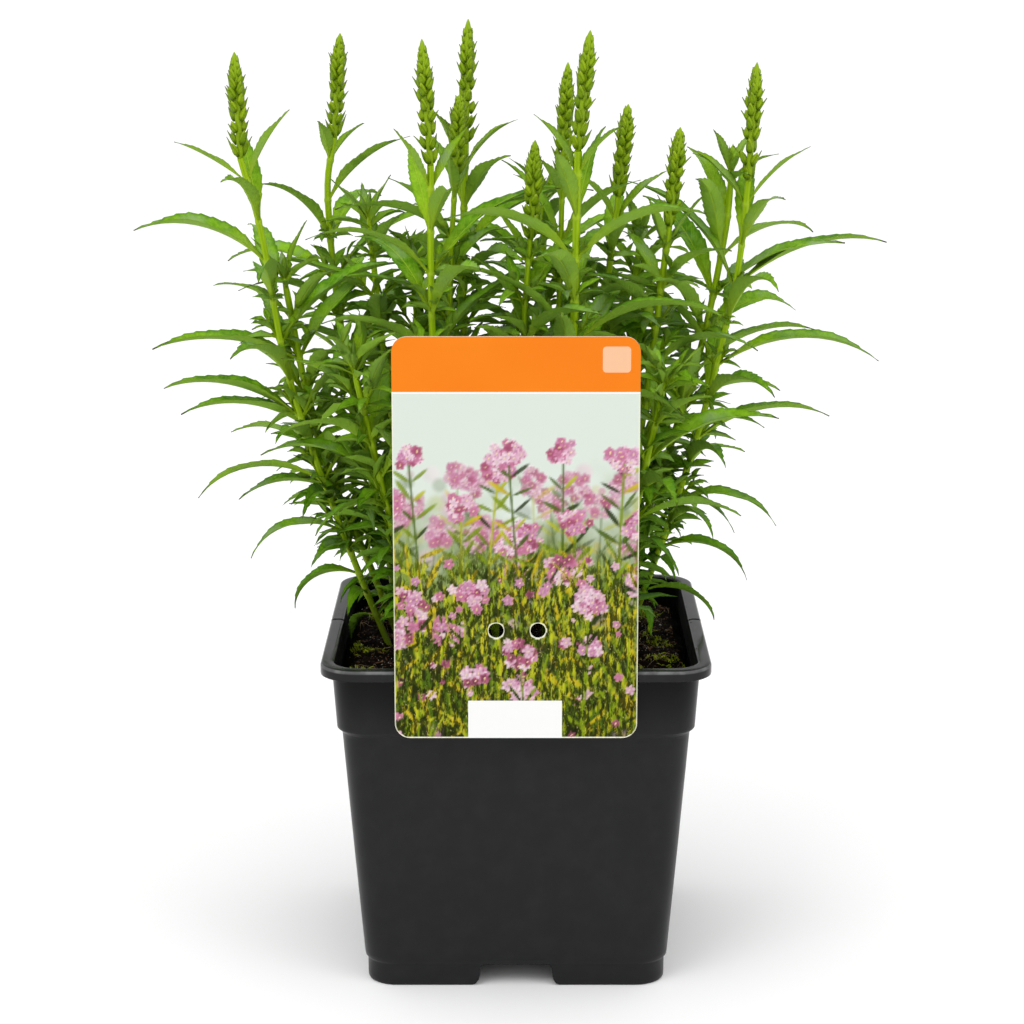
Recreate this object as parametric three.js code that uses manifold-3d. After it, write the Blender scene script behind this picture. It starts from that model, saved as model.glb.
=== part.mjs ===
// A potted obedient plant: a square nursery pot, its soil, twenty leafy stems, eleven flower
// spikes in bud, and a plant label hooked over the rim. Millimetres, +Z up, the label faces -Y.
import * as THREE from 'three';
import { mergeVertices } from 'three/addons/utils/BufferGeometryUtils.js';
import Module from 'manifold-3d';

const wasm = await Module();
wasm.setup();

// The pot's outside from foot to rim: half width, corner radius and height. The foot is rounded,
// the body widens to a small step, and the collar above it carries a turned-down rim
const POT_OUTSIDE = [
  [50.2, 9.6, 0], [50.9, 10, 0.9], [51, 10, 7.4], [51.8, 10, 8.9], [52, 10, 10.5],
  [58.3, 10, 90.9], [59.9, 10, 92.9], [61.3, 10, 114],
  [63.5, 11.4, 114], [63.7, 11.6, 112.1], [64.7, 12.3, 112.1], [65, 12.5, 112.5],
  [65, 12.5, 115], [64.7, 12.3, 115.7], [64, 12, 116], [61.1, 10, 116],
];

// The space inside it: half width, corner radius and height
const POT_INSIDE = [
  [50.85, 8.8, 9.2], [57, 8.8, 90.2], [58.6, 8.8, 93.2], [59.1, 8.8, 101], [60.1, 8.8, 108.5],
];
const POT_MOUTH = [[60.1, 8.8, 115], [61, 9.6, 117]];

// Other sizes of the pot
const RIM_TOP = 116;
const FLOOR_LOW = 7.8;
const FLOOR_TOP = 9.2;
const CHANNEL_HALF_TOP = 11.75;
const CHANNEL_HALF_LOW = 15;
const CHANNEL_LENGTH = 122;
const WELL_CENTRE = 32.6;
const WELL_HALF = 16.1;
const WELL_CORNER = 8.8;
const WELL_LOW = 1.3;
const DRAIN_RADIUS = 4;
const DRAIN_DEPTH = 6;
const DRAIN_REACH = 30;

// Clearance between pieces that touch
const GAP = 0.3;

// Soil: its mean height, its bumps, and the rings its top is made of as shares of its width
const SOIL_TOP = 107;
const SOIL_BUMP = 1.1;
const SOIL_EDGE_DROP = 1;
const SOIL_HALF = 59.2;
const SOIL_CORNER = 8.8;
const SOIL_RINGS = [1, 0.8, 0.5, 0.22];
const STEM_HOLE_LENGTH = 24;

// Label and its hook
const LABEL_HALF = 39.8;
const LABEL_LOW = 93.6;
const LABEL_TOP = 227.2;
const LABEL_CORNER = 5;
const LABEL_THICK = 0.8;
const LABEL_BACK_Y = -65.4;
const LABEL_HOLE_RADIUS = 2.5;
const LABEL_HOLES_X = [-6.5, 7.2];
const LABEL_HOLE_Z = 130.2;
const HOOK_WIDTH = 26;
const HOOK_THICK = 0.8;
const HOOK_TOP = 126.5;
const HOOK_FOOT = 94;
const HOOK_INNER_Y = -58.3;
const HOOK_CORNER = 0.2;
const HOOK_LEAN = 1;

// Leafy stems: four-sided, a little thinner towards the top
const STEM_LOW_HALF = 1.25;
const STEM_TOP_HALF = 1;
const STEM_RINGS = 5;

// Leaves: full size, outline, thickness, and the steps of the middle line that carry a section
const LEAF_LENGTH = 52;
const LEAF_WIDTH = 7.1;
const LEAF_CLASP = 0.22;
const LEAF_ROOT = 0.45;
const LEAF_WIDEST = 0.4;
const LEAF_TAPER = 1.7;
const LEAF_KEEL_MIN = 0.62;
const LEAF_KEEL_RISE = 0.5;
const LEAF_STEPS = 48;
const LEAF_STATIONS = [0, 9, 18, 28, 38];
const LEAF_TEETH = [1, 1.1, 0.88, 1.1, 0.84];
const SMALL_LEAF = 36;
const SMALL_LEAF_STATIONS = [0, 12, 25, 37];
const SMALL_LEAF_TEETH = [1, 0.9, 1.12, 0.86];
const LEAF_CLEARANCE = 0.38;

// Pairs of leaves down a stem: where they begin, and the space between them, which grows with height
const FIRST_PAIR_UNDER_SPIKE = 8;
const FIRST_PAIR_OF_SHOOT = 2;
const PAIR_SPACE = 8;
const PAIR_SPACE_MOST = 14;
const PAIR_SPACE_FROM = 145;
const PAIR_SPACE_GROWTH = 0.1;

// Leaves near a stem's end are young and small, those low down are old, short and hanging
const YOUNG_START = -5;
const YOUNG_REACH = 42;
const YOUNG_LENGTH = 0.34;
const YOUNG_WIDTH = 0.5;
const YOUNG_RISE = 12;
const YOUNG_DROOP = 0.35;
const OLD_HEIGHT = 105;
const OLD_REACH = 95;
const OLD_LENGTH = 0.4;
const OLD_WIDTH = 0.6;
const OLD_RISE = 34;
const OLD_DROOP = 100;
const FULL_RISE = 52;
const FULL_DROOP = 64;
const DROOP_POWER = 1.2;

// How far single leaves stray from the rule, in degrees or as a share
const STRAY = { turn: 9, rise: 7, droop: 14, sway: 16, roll: 22, length: 0.1, width: 0.09 };

// Ways in which a leaf may bend to pass its neighbours: turn, lift (degrees) and length factor
const BENDS = [
  [0, 0, 1], [9, 0, 1], [-9, 0, 1], [0, 11, 1], [0, -11, 1], [16, 8, 1], [-16, 8, 1],
  [16, -9, 0.96], [-16, -9, 0.96], [25, 0, 0.94], [-25, 0, 0.94], [0, 20, 0.9], [0, -20, 0.9],
  [32, 12, 0.86], [-32, 12, 0.86], [32, -14, 0.84], [-32, -14, 0.84], [12, 26, 0.8],
  [-12, 26, 0.8], [40, 4, 0.76], [-40, 4, 0.76], [22, -22, 0.7], [-22, -22, 0.7], [0, 32, 0.62],
];

// Each stem: its route from the foot in the soil to the end of its leafy part, the tip of its
// flower spike where it has one, the height of its lowest pair of leaves, and how its leaves turn
const STEMS = [
  { route: [[-38, 0, 90], [-57.9, 0, 141], [-77.4, -4, 202], [-85.7, -7, 252], [-92.3, -8, 278]],
    tip: [-93.5, -8, 312.3], low: 116, turn: 0, leaf: 1.02 },
  { route: [[32, -1, 90], [48.6, 0, 137.5], [60.4, 2, 173], [68.6, 3, 204], [76, 4, 239], [79, 5, 269]],
    tip: [81.2, 5, 308.1], low: 116, turn: 0, leaf: 1.1 },
  { route: [[-20, -15, 90], [-24, -18, 150], [-28, -22, 222], [-28.2, -22, 277]],
    tip: [-30.7, -22, 317.3], low: 190, turn: 25, leaf: 1 },
  { route: [[14, -16, 90], [17, -20, 150], [19.3, -25, 222], [20.4, -25, 282]],
    tip: [24.1, -25, 320.3], low: 190, turn: -18, leaf: 1, thick: 1.2 },
  { route: [[-11, 9, 90], [-15, 10, 150], [-18.3, 12, 227], [-17.2, 12, 281]],
    tip: [-16.2, 12, 322.1], low: 190, turn: 32, leaf: 1 },
  { route: [[-38, 20, 90], [-44.4, 22, 126], [-60.5, 28, 207], [-66.1, 34, 259], [-63.6, 35, 281]],
    tip: [-61.1, 35, 316.2], low: 168, turn: 62, leaf: 0.86 },
  { route: [[26, -10, 90], [38, -6, 150], [47.6, 0, 218], [52, 0, 254]],
    tip: [55.3, 0, 286.8], low: 168, turn: 40, leaf: 0.92 },
  { route: [[21, 9, 90], [26, 10, 150], [30, 10, 217], [35, 10, 263]],
    tip: [38.1, 10, 293.7], low: 182, turn: 10, leaf: 0.92 },
  { route: [[9, 4, 90], [12, 4, 150], [14.5, 5, 218], [15.8, 5, 270]],
    tip: [17.5, 5, 308.1], low: 200, turn: 55, leaf: 0.9, thick: 0.8 },
  { route: [[0, -12, 90], [2, -15, 150], [2.7, -18, 221], [4.8, -18, 252]],
    tip: [6.3, -18, 284.1], low: 190, turn: -35, leaf: 0.88, thick: 0.8 },
  { route: [[-18, 1, 90], [-21, 0, 150], [-22.5, 1, 228], [-20.6, 1, 271]],
    tip: [-19, 1, 297.7], low: 225, turn: 70, leaf: 0.8, thick: 0.8 },
  { route: [[-35, 8, 90], [-50.7, 6.5, 132], [-68.6, 3, 180], [-79.3, -1, 238]],
    low: 150, turn: 40, leaf: 1 },
  { route: [[30, 9, 90], [43.5, 7.5, 143], [54.4, 9, 178], [64.5, 11, 212], [72, 13, 250], [74, 14, 272]],
    low: 150, turn: 48, leaf: 0.98 },
  { route: [[-31, 14, 90], [-36, 16, 130], [-44.4, 19, 190], [-51.3, 20, 256]],
    low: 188, turn: 5, leaf: 0.92 },
  { route: [[5, 22, 90], [6, 26, 150], [9, 32, 215], [10, 36, 262]], low: 152, turn: 20, leaf: 0.93 },
  { route: [[-6, -22, 90], [-8, -29, 150], [-9, -37, 198]], low: 144, turn: 45, leaf: 0.9 },
  { route: [[24, 21, 90], [32, 28, 150], [40, 35, 205], [44, 39, 247]], low: 150, turn: 50, leaf: 0.92 },
  { route: [[-22, 26, 90], [-28, 30, 150], [-34, 33, 205], [-37, 33, 242]], low: 150, turn: -5, leaf: 0.79 },
  { route: [[28, -21, 90], [38, -28, 150], [49, -36, 207]], low: 144, turn: 15, leaf: 1 },
  { route: [[-29, -15, 90], [-41, -23, 150], [-54, -33, 212]], low: 144, turn: 60, leaf: 0.95 },
];

// Flower spikes: heights are shares of the spike's length, radii of the cone shares of its radius
const SPIKE_SIDES = 8;
const SPIKE_LEVELS = 6;
const SPIKE_RADIUS = 4.2;
const SPIKE_TOP_SHARE = 0.66;
const SPIKE_STEM_RADIUS = 1.2;
const SPIKE_CORE = 0.48;
const SPIKE_BUD_ROOT = 1.15;
const SPIKE_BUD_CLEFT = 0.9;
const SPIKE_BUD_MIDDLE = 1.1;
const SPIKE_BUD_LIFT = 0.55;
const SPIKE_FOOT = 0.05;
const SPIKE_BUDS_LENGTH = 0.8;
const SPIKE_CROWDING = 0.92;
const SPIKE_CONE = [[0.86, 0.4], [0.9, 0.3]];

// Odd multipliers that scatter the bits of a draw
const SCATTER_INPUTS = [0x9e3779b1, 0x85ebca6b, 0xc2b2ae35];
const SCATTER_ROUNDS = [0x2c1b3c6d, 0x297a2d39];

const radians = THREE.MathUtils.degToRad;
const { clamp, lerp } = THREE.MathUtils;
const ease = (u) => u * u * (3 - 2 * u);

// An even draw between 0 and 1 that depends only on its three whole numbers
function chance(...numbers) {
  let bits = numbers.reduce((sum, number, index) => sum ^ Math.imul(number + 1, SCATTER_INPUTS[index]), 0);
  bits = Math.imul(bits ^ (bits >>> 15), SCATTER_ROUNDS[0]);
  bits = Math.imul(bits ^ (bits >>> 12), SCATTER_ROUNDS[1]);
  bits ^= bits >>> 15;
  return (bits >>> 0) / 2 ** 32;
}

// A closed skin over rings of equal count, each anticlockwise seen from the last ring;
// the ends are flat, or the last one is a point
function loft(rings, apex = null) {
  const count = rings[0].length;
  const points = rings.flat();
  const faces = [];
  for (let row = 0; row + 1 < rings.length; row += 1) {
    for (let side = 0; side < count; side += 1) {
      const a = row * count + side;
      const b = row * count + (side + 1) % count;
      faces.push(a, b, b + count, a, b + count, a + count);
    }
  }
  const top = (rings.length - 1) * count;
  for (let side = 1; side + 1 < count; side += 1) {
    faces.push(0, side + 1, side);
    if (!apex) faces.push(top, top + side, top + side + 1);
  }
  if (apex) {
    points.push(apex);
    for (let side = 0; side < count; side += 1) {
      faces.push(top + side, top + (side + 1) % count, points.length - 1);
    }
  }
  const geometry = new THREE.BufferGeometry().setFromPoints(points);
  geometry.setIndex(faces);
  return geometry;
}

// The solid inside a closed geometry
function toSolid(geometry) {
  const plain = geometry.clone();
  for (const name of Object.keys(plain.attributes)) {
    if (name !== 'position') plain.deleteAttribute(name);
  }
  const merged = mergeVertices(plain, 1e-4);
  const mesh = new wasm.Mesh({
    numProp: 3,
    vertProperties: new Float32Array(merged.attributes.position.array),
    triVerts: new Uint32Array(merged.index.array),
  });
  return new wasm.Manifold(mesh);
}

// The geometry of a solid's largest body
function toGeometry(solid) {
  const bodies = solid.decompose().sort((a, b) => b.volume() - a.volume());
  const mesh = bodies[0].getMesh();
  const geometry = new THREE.BufferGeometry();
  geometry.setAttribute('position', new THREE.BufferAttribute(mesh.vertProperties, 3));
  geometry.setIndex(new THREE.BufferAttribute(mesh.triVerts, 1));
  return geometry;
}

// A ring in the shape of a square with round corners, anticlockwise seen from above
function squareRing(half, corner, z, centreX = 0, centreY = 0, pointsPerCorner = 4) {
  const ring = [];
  const inner = half - corner;
  for (let quarter = 0; quarter < 4; quarter += 1) {
    const middle = radians(45 + 90 * quarter);
    const cornerX = Math.sign(Math.cos(middle)) * inner;
    const cornerY = Math.sign(Math.sin(middle)) * inner;
    for (let step = 0; step < pointsPerCorner; step += 1) {
      const angle = middle + radians(90 * (step / (pointsPerCorner - 1) - 0.5));
      ring.push(new THREE.Vector3(
        centreX + cornerX + corner * Math.cos(angle),
        centreY + cornerY + corner * Math.sin(angle),
        z,
      ));
    }
  }
  return ring;
}

// Pot

const potInside = (inset) => POT_INSIDE.map(([half, corner, z], index) => (
  squareRing(half - inset, corner, index === 0 ? z + inset : z)));

const wells = (inset, top) => [0, 1, 2, 3].map((quarter) => {
  const x = quarter % 2 ? WELL_CENTRE : -WELL_CENTRE;
  const y = quarter > 1 ? WELL_CENTRE : -WELL_CENTRE;
  return toSolid(loft([
    squareRing(WELL_HALF - 1 - inset, WELL_CORNER - 1, WELL_LOW + inset, x, y, 2),
    squareRing(WELL_HALF - inset, WELL_CORNER, top, x, y, 2),
  ]));
});

function channel(alongX) {
  const outline = new THREE.Shape();
  outline.moveTo(-CHANNEL_HALF_LOW, -1);
  outline.lineTo(CHANNEL_HALF_LOW, -1);
  outline.lineTo(CHANNEL_HALF_LOW, 0);
  outline.quadraticCurveTo(CHANNEL_HALF_TOP + 0.7, 2.2, CHANNEL_HALF_TOP + 0.4, FLOOR_LOW - 1);
  outline.lineTo(CHANNEL_HALF_TOP - 0.6, FLOOR_LOW);
  outline.lineTo(0.6 - CHANNEL_HALF_TOP, FLOOR_LOW);
  outline.lineTo(-CHANNEL_HALF_TOP - 0.4, FLOOR_LOW - 1);
  outline.quadraticCurveTo(-CHANNEL_HALF_TOP - 0.7, 2.2, -CHANNEL_HALF_LOW, 0);
  const sweep = { depth: CHANNEL_LENGTH, bevelEnabled: false, curveSegments: 3 };
  const bar = new THREE.ExtrudeGeometry(outline, sweep);
  bar.rotateX(Math.PI / 2);
  bar.translate(0, CHANNEL_LENGTH / 2, 0);
  if (alongX) bar.rotateZ(Math.PI / 2);
  return toSolid(bar);
}

function drain(x, y) {
  const hole = new THREE.CylinderGeometry(DRAIN_RADIUS, DRAIN_RADIUS, DRAIN_DEPTH, 10);
  hole.rotateX(Math.PI / 2);
  hole.translate(x, y, (FLOOR_LOW + FLOOR_TOP) / 2);
  return toSolid(hole);
}

function pot() {
  const outside = toSolid(loft(POT_OUTSIDE.map((sizes) => squareRing(...sizes))));
  const mouth = POT_MOUTH.map((sizes) => squareRing(...sizes));
  const inside = toSolid(loft([...potInside(0), ...mouth]));
  const drains = [[0, 0], [DRAIN_REACH, 0], [-DRAIN_REACH, 0], [0, DRAIN_REACH], [0, -DRAIN_REACH]];
  const cuts = [inside, ...wells(0, FLOOR_TOP + 1), channel(false), channel(true)];
  cuts.push(...drains.map(([x, y]) => drain(x, y)));
  return outside.subtract(wasm.Manifold.union(cuts));
}

// Label and hook

function labelPlate() {
  const outline = new THREE.Shape();
  const reach = LABEL_HALF - LABEL_CORNER;
  const low = LABEL_LOW + LABEL_CORNER;
  const high = LABEL_TOP - LABEL_CORNER;
  [[reach, low], [reach, high], [-reach, high], [-reach, low]].forEach(([x, z], index) => {
    outline.absarc(x, z, LABEL_CORNER, radians(90 * (index - 1)), radians(90 * index), false);
  });
  for (const x of LABEL_HOLES_X) {
    outline.holes.push(new THREE.Path().absarc(x, LABEL_HOLE_Z, LABEL_HOLE_RADIUS, 0, 2 * Math.PI, true));
  }
  const sweep = { depth: LABEL_THICK, bevelEnabled: false, curveSegments: 4 };
  const plate = new THREE.ExtrudeGeometry(outline, sweep);
  plate.rotateX(Math.PI / 2);
  plate.translate(0, LABEL_BACK_Y, 0);
  return toSolid(plate);
}

// The hook's section: up behind the label, level over the rim, and down inside the wall
function hookOutline(grow) {
  const front = LABEL_BACK_Y + GAP;
  const level = RIM_TOP + GAP;
  const foot = HOOK_FOOT - grow;
  return new THREE.Shape([
    new THREE.Vector2(front, level),
    new THREE.Vector2(HOOK_INNER_Y - HOOK_CORNER - grow, level),
    new THREE.Vector2(HOOK_INNER_Y + HOOK_LEAN - grow, foot),
    new THREE.Vector2(HOOK_INNER_Y + HOOK_LEAN + HOOK_THICK + grow, foot),
    new THREE.Vector2(HOOK_INNER_Y + HOOK_THICK + grow, level + HOOK_THICK),
    new THREE.Vector2(front + HOOK_THICK, level + HOOK_THICK),
    new THREE.Vector2(front + HOOK_THICK, HOOK_TOP),
    new THREE.Vector2(front, HOOK_TOP),
  ]);
}

function hook(grow = 0) {
  const width = HOOK_WIDTH + 2 * grow;
  const strip = new THREE.ExtrudeGeometry(hookOutline(grow), { depth: width, bevelEnabled: false });
  strip.rotateX(Math.PI / 2);
  strip.rotateZ(Math.PI / 2);
  strip.translate(-width / 2, 0, 0);
  return toSolid(strip);
}

// Stems

function stemCurve(route) {
  const points = route.map((point) => new THREE.Vector3(...point));
  return new THREE.CatmullRomCurve3(points, false, 'catmullrom', 0.5);
}

// Two directions across a stem that runs along the given direction
function acrossStem(along) {
  const side = new THREE.Vector3(1, 0, 0).addScaledVector(along, -along.x).normalize();
  return [side, new THREE.Vector3().crossVectors(along, side)];
}

// A square section of the stem, its flat sides turned the way its leaves grow
function stemRing(stem, share, half) {
  const centre = stem.curve.getPointAt(share);
  const [side, other] = acrossStem(stem.curve.getTangentAt(share));
  return [0, 1, 2, 3].map((corner) => {
    const angle = radians(stem.turn + 90 * corner + 45);
    return centre.clone()
      .addScaledVector(side, half * Math.SQRT2 * Math.cos(angle))
      .addScaledVector(other, half * Math.SQRT2 * Math.sin(angle));
  });
}

function stemBar(stem) {
  const rings = [];
  for (let ring = 0; ring < STEM_RINGS; ring += 1) {
    const share = ring / (STEM_RINGS - 1);
    rings.push(stemRing(stem, share, lerp(STEM_LOW_HALF, STEM_TOP_HALF, share) * (stem.thick ?? 1)));
  }
  return toSolid(loft(rings));
}

// The hole in the soil that a stem's foot stands in
function stemHole(stem) {
  const share = STEM_HOLE_LENGTH / stem.curve.getLength();
  const half = STEM_LOW_HALF * (stem.thick ?? 1) + GAP;
  const foot = stemRing(stem, 0, half);
  foot.forEach((point) => point.addScaledVector(stem.curve.getTangentAt(0), -GAP));
  return toSolid(loft([foot, stemRing(stem, share, half)]));
}

// Leaves

// How wide a leaf is along its length: a clasping base, its widest part, then a long point
function leafShare(t) {
  if (t < LEAF_WIDEST) return LEAF_CLASP + (1 - LEAF_CLASP) * ease(t / LEAF_WIDEST);
  return 1 - ((t - LEAF_WIDEST) / (1 - LEAF_WIDEST)) ** LEAF_TAPER;
}

// A leaf's middle line and cross directions at each of its steps: it leaves the stem at an
// angle, rises, and bends down as it goes out
function leafLine(leaf) {
  const point = leaf.base.clone();
  const line = [];
  for (let step = 0; step <= LEAF_STEPS; step += 1) {
    const heading = (t) => leaf.heading + leaf.sway * t * t;
    const rise = (t) => leaf.rise - leaf.droop * t ** DROOP_POWER;
    const t = step / LEAF_STEPS;
    const along = new THREE.Vector3().setFromSphericalCoords(1, Math.PI / 2 - rise(t), heading(t));
    along.set(along.z, along.x, along.y);
    const level = new THREE.Vector3(-Math.sin(heading(t)), Math.cos(heading(t)), 0);
    const up = new THREE.Vector3().crossVectors(along, level);
    const side = level.clone().multiplyScalar(Math.cos(leaf.roll)).addScaledVector(up, Math.sin(leaf.roll));
    line.push({ point: point.clone(), side, up: new THREE.Vector3().crossVectors(along, side) });
    const middle = t + 0.5 / LEAF_STEPS;
    const stride = leaf.length / LEAF_STEPS;
    point.x += stride * Math.cos(rise(middle)) * Math.cos(heading(middle));
    point.y += stride * Math.cos(rise(middle)) * Math.sin(heading(middle));
    point.z += stride * Math.sin(rise(middle));
  }
  return line;
}

// A leaf's blade: flat above, keeled below, with toothed edges
function leafBlade(leaf, grow = 0) {
  const line = leafLine(leaf);
  const isSmall = leaf.length < SMALL_LEAF;
  const teeth = isSmall ? SMALL_LEAF_TEETH : LEAF_TEETH;
  const rings = (isSmall ? SMALL_LEAF_STATIONS : LEAF_STATIONS).map((step, index) => {
    const share = leafShare(step / LEAF_STEPS);
    const half = leaf.width / 2 * share * teeth[index] + grow;
    const keel = LEAF_KEEL_MIN + LEAF_KEEL_RISE * share + grow;
    const { point, side, up } = line[step];
    const top = point.clone().addScaledVector(up, grow);
    return [
      top.clone().addScaledVector(side, half),
      top.clone().addScaledVector(side, -half),
      point.clone().addScaledVector(up, -keel),
    ];
  });
  return toSolid(loft(rings, line[LEAF_STEPS].point));
}

// The leaves of one stem, in opposite pairs, each pair a quarter turn from the next
function leafPlaces(stem, index) {
  const { curve } = stem;
  const length = curve.getLength();
  const places = [];
  let below = stem.tip ? FIRST_PAIR_UNDER_SPIKE : FIRST_PAIR_OF_SHOOT;
  for (let pair = 0; ; pair += 1) {
    const share = 1 - below / length;
    const base = curve.getPointAt(share);
    if (base.z < stem.low) break;
    const along = curve.getTangentAt(share);
    const [side, other] = acrossStem(along);
    const grown = ease(clamp((below - YOUNG_START) / YOUNG_REACH, 0, 1));
    const fresh = ease(clamp((base.z - OLD_HEIGHT) / OLD_REACH, 0, 1));
    const fullLength = LEAF_LENGTH * stem.leaf * lerp(YOUNG_LENGTH, 1, grown) * lerp(OLD_LENGTH, 1, fresh);
    const fullWidth = LEAF_WIDTH * lerp(YOUNG_WIDTH, 1, grown) * lerp(OLD_WIDTH, 1, fresh);
    const fullRise = lerp(OLD_RISE, FULL_RISE, fresh) + YOUNG_RISE * (1 - grown);
    const fullDroop = lerp(OLD_DROOP, FULL_DROOP, fresh) * lerp(YOUNG_DROOP, 1, grown);
    for (const half of [0, 1]) {
      const draw = (number) => 2 * chance(index, 2 * pair + half, number) - 1;
      const turn = radians(stem.turn + 90 * pair + 180 * half + STRAY.turn * draw(0));
      const angle = radians(fullRise + STRAY.rise * draw(1));
      const out = side.clone().multiplyScalar(Math.cos(turn)).addScaledVector(other, Math.sin(turn));
      const start = out.clone().multiplyScalar(Math.cos(angle)).addScaledVector(along, Math.sin(angle));
      places.push({
        pair: `${index}.${pair}`,
        base: base.clone().addScaledVector(out, LEAF_ROOT),
        heading: Math.atan2(start.y, start.x),
        rise: Math.asin(start.z),
        droop: radians(fullDroop + STRAY.droop * draw(2)),
        sway: radians(STRAY.sway * draw(3)),
        roll: radians(STRAY.roll * draw(4)),
        length: fullLength * (1 + STRAY.length * draw(5)),
        width: fullWidth * (1 + STRAY.width * draw(6)),
      });
    }
    below += clamp(PAIR_SPACE + (base.z - PAIR_SPACE_FROM) * PAIR_SPACE_GROWTH, PAIR_SPACE, PAIR_SPACE_MOST);
  }
  return places;
}

function bentLeaf(leaf, [turn, lift, shorter]) {
  return {
    ...leaf,
    heading: leaf.heading + radians(turn),
    rise: leaf.rise + radians(lift),
    length: leaf.length * shorter,
  };
}

// Flower spikes

// A spike in bud: four upright rows of pointed buds round a core, then a smooth cone
function spike(base, tip) {
  const axis = tip.clone().sub(base);
  const length = axis.length();
  const along = axis.clone().normalize();
  const [side, other] = acrossStem(along);
  const ring = (height, radiusAt, liftAt) => Array.from({ length: SPIKE_SIDES }, (_, corner) => {
    const angle = 2 * Math.PI * corner / SPIKE_SIDES;
    return base.clone()
      .addScaledVector(along, height + liftAt(corner))
      .addScaledVector(side, radiusAt(corner) * Math.cos(angle))
      .addScaledVector(other, radiusAt(corner) * Math.sin(angle));
  });
  const none = () => 0;
  const isBud = (corner) => corner % 2 === 0;
  const heightOf = (share) => (SPIKE_FOOT + SPIKE_BUDS_LENGTH * share ** SPIKE_CROWDING) * length;
  const rings = [ring(GAP, () => SPIKE_STEM_RADIUS, none)];
  for (let level = 0; level < SPIKE_LEVELS; level += 1) {
    const here = heightOf(level / SPIKE_LEVELS);
    const next = heightOf((level + 1) / SPIKE_LEVELS);
    const wide = SPIKE_RADIUS * lerp(1, SPIKE_TOP_SHARE, (level / SPIKE_LEVELS) ** 2);
    const core = Math.max(wide * SPIKE_CORE, SPIKE_STEM_RADIUS);
    const rootAt = (corner) => core * (isBud(corner) ? SPIKE_BUD_ROOT : SPIKE_BUD_CLEFT);
    const tipAt = (corner) => (isBud(corner) ? wide : core * SPIKE_BUD_MIDDLE);
    const liftAt = (corner) => (isBud(corner) ? SPIKE_BUD_LIFT * (next - here) : 0);
    rings.push(ring(here, rootAt, none));
    rings.push(ring(lerp(here, next, 0.5), tipAt, liftAt));
  }
  for (const [height, radius] of SPIKE_CONE) {
    rings.push(ring(height * length, () => SPIKE_RADIUS * radius, none));
  }
  return toSolid(loft(rings, tip));
}

// Placing: every leaf keeps clear of all that is not its own stem

const taken = [];
const holdPlace = (solid, owner, pair = '') => taken.push({ solid, owner, pair, box: solid.boundingBox() });

const areApart = (one, other) => [0, 1, 2].some((axis) => (
  one.min[axis] > other.max[axis] || one.max[axis] < other.min[axis]));

function isFree(solid, owner, pair) {
  const box = solid.boundingBox();
  return !taken.some((other) => {
    if (other.owner === owner && (other.pair === '' || other.pair === pair)) return false;
    if (areApart(box, other.box)) return false;
    const shared = solid.intersect(other.solid);
    const isShared = !shared.isEmpty();
    shared.delete();
    return isShared;
  });
}

const stems = STEMS.map((stem, index) => ({
  ...stem,
  name: `stem_${String(index + 1).padStart(2, '0')}`,
  curve: stemCurve(stem.route),
}));
const bars = stems.map(stemBar);
const potSolid = pot();
const hookSolid = hook();
const labelSolid = labelPlate();

// The bumps of the soil's top: two crossed waves about 30 and 20 mm long
function bump(x, y) {
  const broad = Math.sin(0.21 * x + 1.3) * Math.cos(0.17 * y);
  const fine = 0.6 * Math.sin(0.37 * y - 0.29 * x);
  return SOIL_BUMP * (broad + fine);
}

function soil() {
  const rings = potInside(GAP).slice(0, -1);
  for (const share of SOIL_RINGS) {
    const ring = squareRing(SOIL_HALF * share, SOIL_CORNER * share, SOIL_TOP);
    ring.forEach((point) => { point.z += share === 1 ? -SOIL_EDGE_DROP : bump(point.x, point.y); });
    rings.push(ring);
  }
  const body = toSolid(loft(rings, new THREE.Vector3(0, 0, SOIL_TOP)));
  const filled = wasm.Manifold.union([body, ...wells(GAP, FLOOR_TOP + 1)]);
  return filled.subtract(wasm.Manifold.union([...stems.map(stemHole), hook(GAP)]));
}

const soilSolid = soil();
const spikes = stems.filter((stem) => stem.tip).map((stem) => ({
  name: stem.name.replace('stem', 'flower_spike'),
  solid: spike(stem.curve.getPoint(1), new THREE.Vector3(...stem.tip)),
}));

holdPlace(potSolid, 'pot');
holdPlace(soilSolid, 'soil');
holdPlace(hookSolid, 'hook');
holdPlace(labelSolid, 'label');
bars.forEach((bar, index) => holdPlace(bar, stems[index].name));
spikes.forEach(({ name, solid }) => holdPlace(solid, name));

// A stem with as many of its leaves as find room
function leafyStem(stem, index) {
  const blades = [bars[index]];
  for (const leaf of leafPlaces(stem, index)) {
    const bend = BENDS.find((option) => {
      const room = leafBlade(bentLeaf(leaf, option), LEAF_CLEARANCE);
      const free = isFree(room, stem.name, leaf.pair);
      room.delete();
      return free;
    });
    if (bend) {
      const blade = leafBlade(bentLeaf(leaf, bend));
      blades.push(blade);
      holdPlace(blade, stem.name, leaf.pair);
    }
  }
  return wasm.Manifold.union(blades);
}

// Assembly

const finishes = {
  pot: new THREE.MeshStandardMaterial({ color: '#25272a', roughness: 0.5, metalness: 0 }),
  soil: new THREE.MeshStandardMaterial({ color: '#2b1f17', roughness: 1, metalness: 0 }),
  label: new THREE.MeshStandardMaterial({ color: '#e9ecdf', roughness: 0.35, metalness: 0 }),
  hook: new THREE.MeshStandardMaterial({ color: '#17181a', roughness: 0.45, metalness: 0 }),
  leaf: new THREE.MeshStandardMaterial({ color: '#4d8a2b', roughness: 0.5, metalness: 0 }),
  bud: new THREE.MeshStandardMaterial({ color: '#8fb23c', roughness: 0.55, metalness: 0 }),
};

const plant = new THREE.Group();

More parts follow.
